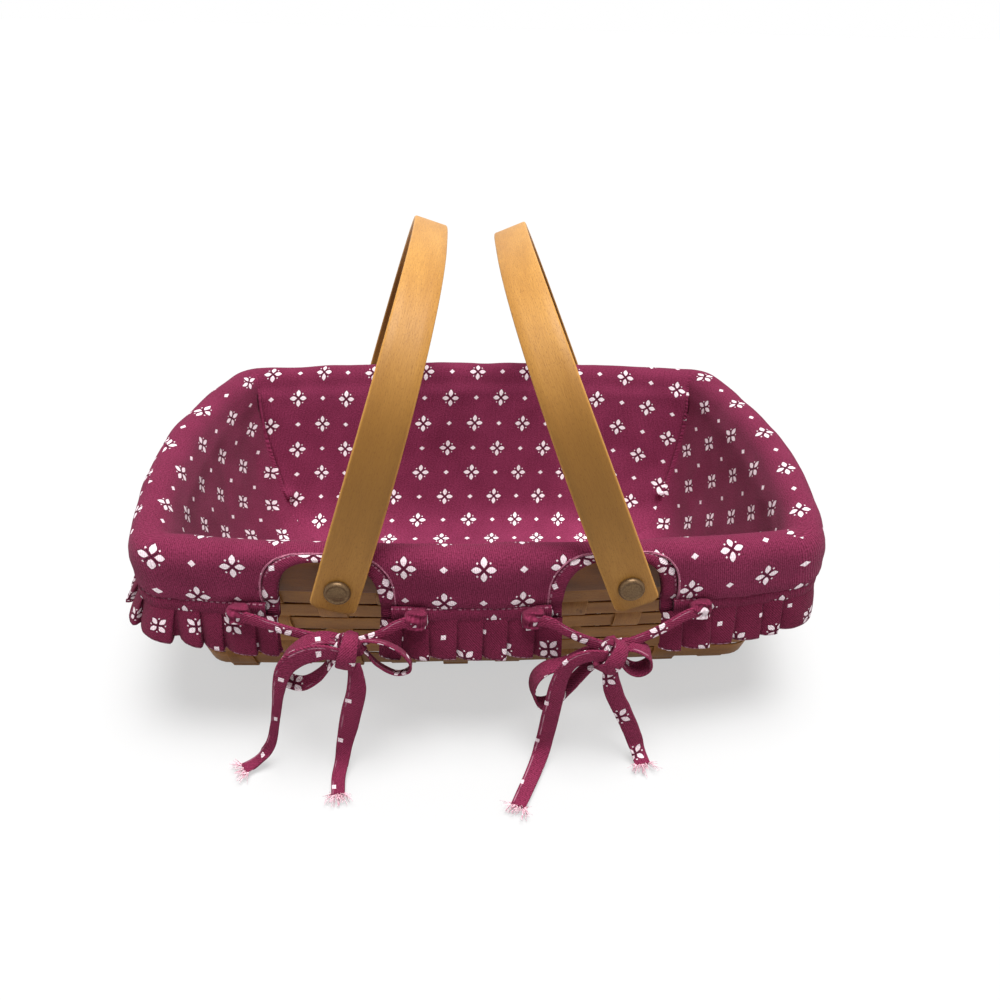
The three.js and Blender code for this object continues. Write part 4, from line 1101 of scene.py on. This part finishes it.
# Bows. A loop is a closed strip, given as [x, y, z] with the direction across it and where it lies
# on the print.
bows = {
    "left": {
        "knot": (-0.0634, 0.069), "knotLean": 12, "wrapLean": 14, "wrapShift": 0,
        "loops": [
            {
                "points": [(-0.0655, -0.1325, 0.0690), (-0.0755, -0.1335, 0.0735), (-0.0865, -0.1345, 0.0690),
                           (-0.0945, -0.1345, 0.0590), (-0.0945, -0.1335, 0.0490), (-0.0870, -0.1330, 0.0450),
                           (-0.0785, -0.1325, 0.0500), (-0.0715, -0.1325, 0.0600)],
                "across": (0.05, -0.93, -0.25), "width": 1.0, "start": (0.012, 0.0),
            },
            {
                "points": [(-0.0610, -0.1335, 0.0700), (-0.0520, -0.1340, 0.0720), (-0.0430, -0.1340, 0.0680),
                           (-0.0365, -0.1340, 0.0605), (-0.0360, -0.1335, 0.0535), (-0.0425, -0.1330, 0.0505),
                           (-0.0505, -0.1330, 0.0560), (-0.0560, -0.1330, 0.0640)],
                "across": (0.05, -0.88, 0.42), "width": 0.9, "start": (0.0, 0.01),
            },
        ],
    },
    "right": {
        "knot": (0.0603, 0.0635), "knotLean": -28, "wrapLean": 32, "wrapShift": -0.0016,
        "loops": [
            {
                "points": [(0.0580, -0.1330, 0.0630), (0.0490, -0.1335, 0.0620), (0.0385, -0.1340, 0.0560),
                           (0.0295, -0.1340, 0.0530), (0.0240, -0.1335, 0.0460), (0.0232, -0.1330, 0.0370),
                           (0.0265, -0.1330, 0.0290), (0.0330, -0.1330, 0.0300), (0.0410, -0.1330, 0.0400),
                           (0.0490, -0.1330, 0.0520)],
                "across": (0.25, -0.9, -0.1), "width": 1.0, "start": (0.008, 0.006),
            },
            {
                "points": [(0.0615, -0.1335, 0.0650), (0.0695, -0.1340, 0.0665), (0.0775, -0.1340, 0.0615),
                           (0.0785, -0.1340, 0.0545), (0.0730, -0.1335, 0.0505), (0.0665, -0.1330, 0.0545)],
                "across": (0.0, -0.95, -0.3), "width": 1.0, "start": (0.014, 0.0),
            },
        ],
    },
}
knot = {"outset": 0.134, "halfWidth": 0.0064, "halfDepth": 0.0048, "halfHeight": 0.0074}
wrap = {"outset": 0.1376, "drop": 0.0004, "halfDepth": 0.0062, "halfHeight": 0.0081}
lead = {
    "run": 0.0075, "offsets": (0.0118, 0.0134), "heights": (0.0770, 0.0766),  # of its first two points
    "widthPlaces": (0, 0.25, 0.6, 1), "widths": (0.75, 0.58, 0.52, 0.66), "thickness": 1.25,
}
# Tabs where the ties leave the casing: how far they stand from the middle of their arch
tab = {
    "places": {"front_right": (-0.0384, 0.0420), "back_right": (-0.0409, 0.0409),
               "back_left": (-0.0409, 0.0409), "front_left": (-0.0417, 0.0409)},
    "offset": 0.0102, "height": 0.0768, "halfWidth": 0.0055, "halfDepth": 0.0031, "halfHeight": 0.0050,
}


def addKnot(name, side, turned):
    x, z = bows[side]["knot"]
    around = np.linspace(0, 2 * np.pi, 40, endpoint=False)
    rows = []
    for angle in np.linspace(-np.pi / 2, np.pi / 2, 24)[1:-1]:
        c, s = math.cos(angle) ** 0.8, math.sin(angle)
        ring = np.stack([knot["halfWidth"] * c * np.cos(around), knot["halfDepth"] * c * np.sin(around),
                         np.full(40, knot["halfHeight"] * s)], axis=-1)
        crease = (0.0010 * np.cos(3 * around + 2.2 * s + 0.6) + 0.0006 * np.cos(5 * around - 4 * s)
                  + 0.0004 * np.cos(9 * around + 7 * s))
        ring[:, :2] *= 1 + crease[:, None] / 0.005
        rows.append(ring)
    grid = np.array(rows) @ aboutY(bows[side]["knotLean"]).T + np.array([x, -knot["outset"], z])
    flat = paired(np.linspace(0, 0.03, 41)[None], np.linspace(0, 0.016, 22)[:, None] + 0.006)
    return addTube(name, grid @ turned.T, flat, None, tieCloth)


# A small folded pillow of cotton at a tie's exit
def addTab(name, place):
    around = np.linspace(0, 2 * np.pi, 36, endpoint=False)
    centre, beyond = onWall(rimArcs, stopsAt([place, place + 0.001]), tab["offset"], tab["height"])
    along = unit(beyond - centre)
    outward = np.cross(along, [0, 0, 1.0])
    centre = centre + np.array([0, 0, float(hemRise(place))])
    rows = []
    for angle in np.linspace(-np.pi / 2, np.pi / 2, 18)[1:-1]:
        c = math.cos(angle) ** 0.5
        across = tab["halfWidth"] * c * rounded(np.cos(around), 0.5)
        up = tab["halfHeight"] * rounded(math.sin(angle), 0.6)
        folds = 1 + 0.35 * np.sin(up * 1400 + 300 * across)
        out = tab["halfDepth"] * c * rounded(np.sin(around), 0.6) * folds
        rows.append(centre + across[:, None] * along + out[:, None] * outward
                    + np.array([0, 0, 1]) * (up + 0.05 * across[:, None]))
    grid = np.array(rows)
    grid = grid + 0.0004 * rough(grid, 0.003, place)[..., None] * outward
    flat = paired(place + np.linspace(0, 0.026, 37)[None], np.linspace(0, 0.009, 16)[:, None])
    return addTube(name, grid, flat, None, tieCloth)


# A lead from its tab to the knot
def addLead(name, place, along, hub, number, turned):
    toward = math.copysign(1, -along)
    places = stopsAt([place, place + toward * lead["run"]])
    first, second = onWall(rimArcs, places, np.array(lead["offsets"]), np.array(lead["heights"]))
    heading = unit((second - first) * [1, 1, 0])
    last = hub - heading * 0.002 + np.array([0, 0, 0.0020]) + np.array([0, -0.0012, 0]) @ turned.T
    line = smoothLine([first, second, mix(second, last, 0.35) + [0, 0, -0.0012],
                       mix(second, last, 0.7) + [0, 0, -0.0010], last], 48)
    widths = tie["width"] * np.interp(np.linspace(0, 1, 48), lead["widthPlaces"], lead["widths"])
    outward = np.array([0, 0.25, 0.0]) @ turned.T + np.array([0, 0, 0.97])
    return addRibbon(name, line, np.tile(outward, (48, 1)), widths, tie["thickness"] * lead["thickness"],
                     (0.003 + 0.01 * number, 0.002))


def makeBow(end, side, turned):
    bow = bows[side]
    name = placeName(end, side)
    knotX, knotZ = bow["knot"]
    middle = addKnot(f"knot_{name}", side, turned)
    made = [middle]
    for number, loop in enumerate(bow["loops"]):
        line = smoothLine(loop["points"], 64, closed=True)[:-1]
        across = np.tile(np.array(loop["across"]) @ turned.T, (len(line), 1))
        opened = 0.72 + 0.28 * np.sin(np.pi * np.linspace(0, 1, len(line))) ** 0.7
        widths = tie["width"] * loop["width"] * opened
        made.append(addRibbon(f"loop_{name}_{number + 1}", line @ turned.T, across, widths,
                              tie["thickness"] * 0.8, loop["start"], True))
    hub = np.array([knotX, -knot["outset"], knotZ]) @ turned.T
    for number, along in enumerate(tab["places"][name]):
        place = archMiddles[arch["names"].index(name)] + along
        made.append(addTab(f"tab_{name}_{number + 1}", place))
        made.append(addLead(f"lead_{name}_{number + 1}", place, along, hub, number, turned))
    # The turn of cotton that wraps the knot
    tilt = aboutY(bow["wrapLean"])
    angles = np.linspace(0, 2 * np.pi, 48, endpoint=False)
    outer, upper = np.cos(angles)[:, None], np.sin(angles)[:, None]
    ring = (np.array([knotX + bow["wrapShift"], -wrap["outset"], knotZ - wrap["drop"]])
            + wrap["halfDepth"] * outer * np.array([0, -1, 0]) + wrap["halfHeight"] * upper * tilt[:, 2])
    made.append(addRibbon(f"wrap_{name}", ring @ turned.T, np.tile(tilt[:, 0] @ turned.T, (48, 1)),
                          tie["width"] * (0.92 + 0.12 * np.cos(angles + 0.7)), tie["thickness"] * 1.3,
                          (0.006, 0.004), True))
    for piece in made:
        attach(piece, "basket")
    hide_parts(f"bow_{name}")


for end, turned in turns.items():
    for side in bows:
        makeBow(end, side, turned)
print("bows")

# Woven body
splint = {
    "thickness": 0.0012, "fit": 0.0003, "stakeWidth": 0.014,
    # Between two stakes' middles, at the base and at the rim
    "cross": {"count": 10, "pitch": (0.0295, 0.0314)},
    "long": {"count": 5, "pitch": (0.026, 0.038)},
    "bend": 0.0042, "foot": 0.0052,  # of a stake, where it turns up from the base
    "rowHeight": 0.0106, "rowPitch": 0.0122, "firstRow": 0.005, "rows": 6,
    "giveWay": 0.00025, "giveReach": 0.009,  # how a row bends away from each stake
    "rimBand": 0.0245, "rimOffsets": {"outer": (0.0011, 0.0039), "inner": (-0.0039, -0.0011)},
}
halfSplint = splint["thickness"] / 2
lift = splint["thickness"] + splint["fit"]
baseLevel = halfSplint + lift
stakeTop = wall["rimHeight"] - splint["fit"]
rimBandBottom = wall["rimHeight"] - splint["rimBand"]
# A strip's section: rounded edges, width along the first axis
stripSection = np.array([
    (-1, -0.5), (-0.985, -0.9), (-0.94, -1), (-0.4, -1), (0.4, -1), (0.94, -1), (0.985, -0.9), (1, -0.5),
    (1, 0.5), (0.985, 0.9), (0.94, 1), (0.4, 1), (-0.4, 1), (-0.94, 1), (-0.985, 0.9), (-1, 0.5),
])


# Smooth up-and-down weave: +1 on crossings of one kind, -1 on the others
def weave(phase):
    return np.tanh(1.9 * np.cos(phase)) / math.tanh(1.9)


def addStrip(name, replaced, grid, along, width, material, closed=False):
    section = np.append(stripSection, stripSection[:1], axis=0)
    faceShift = (section[:, 1] > 0) * 0.05
    faceShift[-1] = 0
    seed = (sum(ord(c) for c in name) % 97) * 0.013  # each strip's grain starts elsewhere
    if closed:
        along = np.append(along, along[-1] + along[1])
        grid = np.concatenate([grid, grid[:1]])
    flat = paired(along[:, None] + seed, (section[:, 0] * width / 2 + faceShift + seed)[None])
    strip = paired(section[None, :, 0], 0 * flat[..., 0])
    piece = addTube(name, grid, flat, strip, material, closed)
    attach(piece, "basket")
    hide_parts(replaced)
    return piece


def wallOffset(z, outsideFirst):
    row = (z - splint["firstRow"] - splint["rowHeight"] / 2) / splint["rowPitch"]
    value = (1 if outsideFirst else -1) * lift * weave(np.pi * row)
    return value * (1 - smooth(z, rimBandBottom - 0.005, rimBandBottom - 0.0004))


# A stake runs down one wall, across the base under the liner and up the wall opposite.
# Rings are made as [reach from the middle, place beside it, height].
def makeStake(kind, number, name):
    crosses = kind == "cross"
    basePitch, rimPitch = splint[kind]["pitch"]
    slot = number - (splint[kind]["count"] - 1) / 2
    across, out = stripSection[:, 0] * splint["stakeWidth"] / 2, stripSection[:, 1] * halfSplint
    foot, bend, crossPitch = splint["foot"], splint["bend"], splint["cross"]["pitch"][0]
    atBase = slot * basePitch + across

    def ring(reach, beside, z):
        return np.stack(np.broadcast_arrays(reach, beside, z), axis=-1)

    def levelAt(reach, direction):
        if crosses:
            return baseLevel
        sign = -1 if (number + (direction < 0)) % 2 == 0 else 1
        raw = baseLevel + sign * lift * float(weave(np.pi * (reach / crossPitch - 0.5)))
        last = 4.5 * crossPitch + 0.006
        return mix(raw, max(raw, baseLevel), float(smooth(reach, last, last + 0.006)))

    halves = []
    for direction in (-1, 1):
        wallPart = []
        for z in np.linspace(foot, stakeTop, 72):
            beside = slot * mix(basePitch, rimPitch, z / wall["rimHeight"]) + across
            offset = float(wallOffset(z, number % 2 == 0))
            wallPart.append(ring(wallReach(z, beside, offset + out, 4 if crosses else 2), beside, z))
        edges = wallPart[0][:, 0]
        angles = np.linspace(0, math.pi / 2, 8, endpoint=False)
        if crosses:
            starts, reaches = edges - bend, np.linspace(0.0005, edges[0] - bend - 0.001, 24)
        else:
            starts, angles = edges.max() - bend, angles[1:]
            reaches = np.linspace(0.0005, starts, 96)
        base = [ring(reach, atBase, levelAt(reach, direction) - out) for reach in reaches]
        last = levelAt(reaches[-1], direction) - out
        corner = [ring(mix(starts, edges, math.sin(angle)), atBase, mix(last, foot, 1 - math.cos(angle)))
                  for angle in angles]
        half = np.array(base + corner + wallPart) * [direction, 1, 1]
        halves.append(half[::-1] if direction < 0 else half)
    grid = np.concatenate(halves)
    if crosses:
        grid = grid[..., [1, 0, 2]]
    piece = addStrip(f"{name}_{number + 1}", f"{kind}_stake_{number + 1}", grid, runLength(grid.mean(axis=1)),
                     splint["stakeWidth"], splintWood)


loopDistances = np.linspace(0, rimLength, 420, endpoint=False)
loopStops = stopsAt(loopDistances)


# A band round the wall between two heights and two offsets
def bandGrid(low, high, inner, outer, wave=0):
    lowArcs, highArcs = wallArcs(low), wallArcs(high)
    middle, half = (inner + outer) / 2, (outer - inner) / 2
    sides = []
    for across, out in stripSection:
        offset = middle + out * half + wave
        sides.append(mix(onWall(lowArcs, loopStops, offset, low), onWall(highArcs, loopStops, offset, high),
                         (across + 1) / 2))
    return np.stack(sides, axis=1)


def makeWeaver(row):
    low = splint["firstRow"] + row * splint["rowPitch"]
    middle = low + splint["rowHeight"] / 2
    place = onWall(wallArcs(middle), loopStops, 0.0, 0.0)
    # The splint gives way a little, away from each stake that passes it
    wave = np.zeros(len(loopDistances))
    for kind, axis, arcs in (("cross", 0, sideArcs), ("long", 1, endArcs)):
        for number in range(splint[kind]["count"]):
            slot = number - (splint[kind]["count"] - 1) / 2
            at = slot * mix(*splint[kind]["pitch"], middle / wall["rimHeight"])
            side = -1 if row % 2 == number % 2 else 1
            near = hill(place[:, axis] - at, splint["giveReach"]) * np.isin(loopStops[0], arcs)
            wave += side * splint["giveWay"] * near
    grid = bandGrid(low, low + splint["rowHeight"], -halfSplint, halfSplint, wave)
    piece = addStrip(f"splint_row_{row + 1}", f"weaver_{row + 1}", grid, loopDistances, splint["rowHeight"],
                     splintWood, closed=True)


for kind, name in (("cross", "upright_side"), ("long", "upright_end")):
    for number in range(splint[kind]["count"]):
        makeStake(kind, number, name)
for row in range(splint["rows"]):
    makeWeaver(row)
for name, offsets in splint["rimOffsets"].items():
    grid = bandGrid(rimBandBottom, wall["rimHeight"], *offsets)
    piece = addStrip(f"rim_strip_{name}", f"{name}_rim_band", grid, loopDistances, splint["rimBand"], rimWood,
                     closed=True)
print("weave")

# Handles: each a bent strip, flat at its feet and narrower at its crown
handle = {
    "pivotHalfSpan": 0.0676, "pivotHeight": 0.093,
    "innerHalfSpan": 0.1206, "reach": 0.138, "squareness": 2.7,
    "thickness": 0.004, "footWidth": 0.0218, "crownWidth": 0.0182, "footLength": 0.012,
    "tipRounding": 0.003, "tipInset": 0.0060,
    # A quarter of the section, as shares of the width and the thickness
    "section": [(0.5, 0), (0.5, 0.28), (0.485, 0.42), (0.455, 0.5), (0.25, 0.5), (0, 0.5)],
    "leans": {"left": 17.8, "right": -22},  # as in the photograph
}


def makeHandle(name, x):
    quarter = np.array(handle["section"])
    top = np.concatenate([quarter, (quarter * [-1, 1])[-2::-1]])
    section = np.concatenate([top, (top * [1, -1])[-2:0:-1]])
    span = handle["innerHalfSpan"] + handle["thickness"] / 2
    reach = handle["reach"] - handle["thickness"] / 2
    power = handle["squareness"]
    angle = np.linspace(0, np.pi, 400)
    radius = (np.abs(np.cos(angle) / span) ** power + np.abs(np.sin(angle) / reach) ** power) ** (-1 / power)
    hoop = evenLine(np.stack([radius * np.cos(angle), radius * np.sin(angle)], axis=-1), 150)
    foot = np.stack([np.full(10, span), np.linspace(-handle["footLength"], -0.0008, 10)], axis=-1)
    line = np.vstack([foot, hoop, (foot * [-1, 1])[::-1]])
    run = unit(np.gradient(line, axis=0))
    out = np.stack([run[:, 1], -run[:, 0]], axis=-1) * handle["thickness"]
    climb = np.arctan2(np.clip(line[:, 1], 0, 1), np.abs(line[:, 0]))
    toEnd = runLength(line)
    rounding = np.clip(np.minimum(toEnd, toEnd[-1] - toEnd) / handle["tipRounding"], 0, 1)
    widths = (mix(handle["footWidth"], handle["crownWidth"], np.sin(climb) ** 2)
              - handle["tipInset"] * (1 - np.sqrt(1 - (1 - rounding) ** 2)))
    sides = [np.stack([across * widths, *(line + thick * out).T], axis=-1) for across, thick in section]
    grid = np.stack(sides, axis=1)
    grid = grid @ aboutY(handle["leans"][name]).T + np.array([x, 0, handle["pivotHeight"]])
    across = np.append(section[:, 0], section[0, 0])
    inside = np.array([0.0] * 10 + [0.04] * 11)  # the inner face shows another part of the wood
    flat = paired(toEnd[:, None] + x * 3, (across * handle["footWidth"] + inside)[None] + x)
    # Painted shade: below the crown the wood is painted darker, half as much towards the feet
    fallen = reach - line[:, 1]
    legShade = smooth(fallen, 0.010, 0.065) * (1 - 0.5 * smooth(fallen, 0.08, 0.14))
    piece = addTube(f"hoop_{name}", grid, flat, paired(2 * across[None], legShade[:, None]), handleWood)
    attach(piece, f"{name}_handle")
    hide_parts(f"handle_{name}")


makeHandle("left", -handle["pivotHalfSpan"])
makeHandle("right", handle["pivotHalfSpan"])

# Rivets, burrs and spacers: [radius, y], or [radius, offset from the wall] where follows says so
rivet = {
    "shank": 0.0025, "shankEnd": 0.0052,
    # Above the seat on the handle
    "head": [(0.0025, 0), (0.0061, 0), (0.0062, 0.0003), (0.0062, 0.0011), (0.0060, 0.0016), (0.0056, 0.0021),
             (0.0052, 0.0024), (0.0049, 0.00235), (0.0046, 0.00205), (0.0042, 0.0020), (0.0032, 0.0022),
             (0.0018, 0.00235), (0.0004, 0.0024)],
    "burr": [(0.0028, -0.0052), (0.0043, -0.0052), (0.0046, -0.0042), (0.0028, -0.0042)],
    "spacer": [(0.0028, 0.0042), (0.0060, 0.0042), (0.0060, 0.1203), (0.0028, 0.1203)],
}
seat = handle["innerHalfSpan"] + handle["thickness"] + splint["fit"]


# A turned piece with its axis along Y. The first rings of its profile follow the curved wall.
def addTurned(name, replaced, profile, x, direction, material, follows=0):
    angles = np.linspace(0, 2 * np.pi, 48, endpoint=False)
    rings = []
    for number, (radius, y) in enumerate(profile):
        ring = np.stack([x + radius * np.cos(angles), np.full(48, y),
                         handle["pivotHeight"] + radius * np.sin(angles)], axis=-1)
        if number < follows:
            ring[:, 1] = [wallReach(point[2], point[0], y) for point in ring]
        rings.append(ring)
    piece = addTube(name, np.array(rings) * np.array([1, direction, 1]), None, None, material)
    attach(piece, "basket")
    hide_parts(replaced)


for end, direction in (("front", -1), ("back", 1)):
    for side, x in (("left", -handle["pivotHalfSpan"]), ("right", handle["pivotHalfSpan"])):
        name = f"{end}_{side}"
        shankEnd = float(wallReach(handle["pivotHeight"], x, 0.0)) - rivet["shankEnd"]
        profile = [(rivet["shank"], shankEnd)] + [(radius, seat + y) for radius, y in rivet["head"]]
        addTurned(f"stud_{name}", f"rivet_{name}", profile, x, direction, rivetMetal)
        addTurned(f"washer_{name}", f"burr_{name}", rivet["burr"], x, direction, rivetMetal, 4)
        addTurned(f"packer_{name}", f"spacer_{name}", rivet["spacer"], x, direction, spacerWood,
                  2)
print("handles")

# Floor, light and world
stage = {
    "floorHalfSize": 40.0, "floorTone": 0.47, "veil": 0.55,  # how much paler the floor is to the camera
    "sunPower": 5.5, "sunSpread": 36, "sunTilt": (2, 4),
    "fillPlace": (-0.6, -1.4, 1.1), "fillAim": (0, 0, 0.08), "fillSize": 1.2, "fillPower": 0.6,
    "worldPower": 0.44,
}


def seenRays(do):
    rays = node(do.tree, "ShaderNodeLightPath").outputs
    return do.most(do.most(rays["Is Camera Ray"], rays["Is Glossy Ray"]), rays["Is Transmission Ray"])


def makeStage():
    size, tone = stage["floorHalfSize"], stage["floorTone"]
    material, do, _ = newMaterial("pale_floor", {"Base Color": (tone, tone, tone, 1), "Roughness": 0.9})
    # To the camera the floor is paler than its light makes it, so that the shadow stays faint
    veil = node(do.tree, "ShaderNodeMixShader")
    do.link(do.mul(seenRays(do), stage["veil"]), veil.inputs[0])
    do.link(do.tree.nodes["Principled BSDF"].outputs[0], veil.inputs[1])
    do.link(node(do.tree, "ShaderNodeEmission").outputs[0], veil.inputs[2])
    do.link(veil.outputs[0], do.tree.nodes["Material Output"].inputs["Surface"])
    floor = addMesh("floor", [(-size, -size, 0), (size, -size, 0), (size, size, 0), (-size, size, 0)],
                    [[0, 1, 2, 3]], material=material)


def makeLights():
    sun = bpy.data.lights.new("top_light", "SUN")
    sun.energy = stage["sunPower"]
    sun.angle = math.radians(stage["sunSpread"])
    addObject("top_light", sun).rotation_euler = (*map(math.radians, stage["sunTilt"]), 0)
    fill = bpy.data.lights.new("front_fill", "AREA")
    fill.shape = "DISK"
    fill.size = stage["fillSize"]
    fill.energy = stage["fillPower"]
    lamp = addObject("front_fill", fill)
    lamp.location = stage["fillPlace"]
    aim = Vector(stage["fillAim"]) - Vector(stage["fillPlace"])
    lamp.rotation_euler = aim.to_track_quat("-Z", "Y").to_euler()


def makeWorld():
    world = bpy.data.worlds.new("studio")
    bpy.context.scene.world = world
    world.use_nodes = True
    background = world.node_tree.nodes["Background"].inputs
    background["Color"].default_value = (1, 1, 1, 1)
    do = Sums(world.node_tree)
    power = stage["worldPower"]
    do.link(do.add(power, do.mul(seenRays(do), 1 - power)), background["Strength"])


makeStage()
makeLights()
makeWorld()
bpy.context.scene.view_settings.view_transform = "Standard"
print("stage")
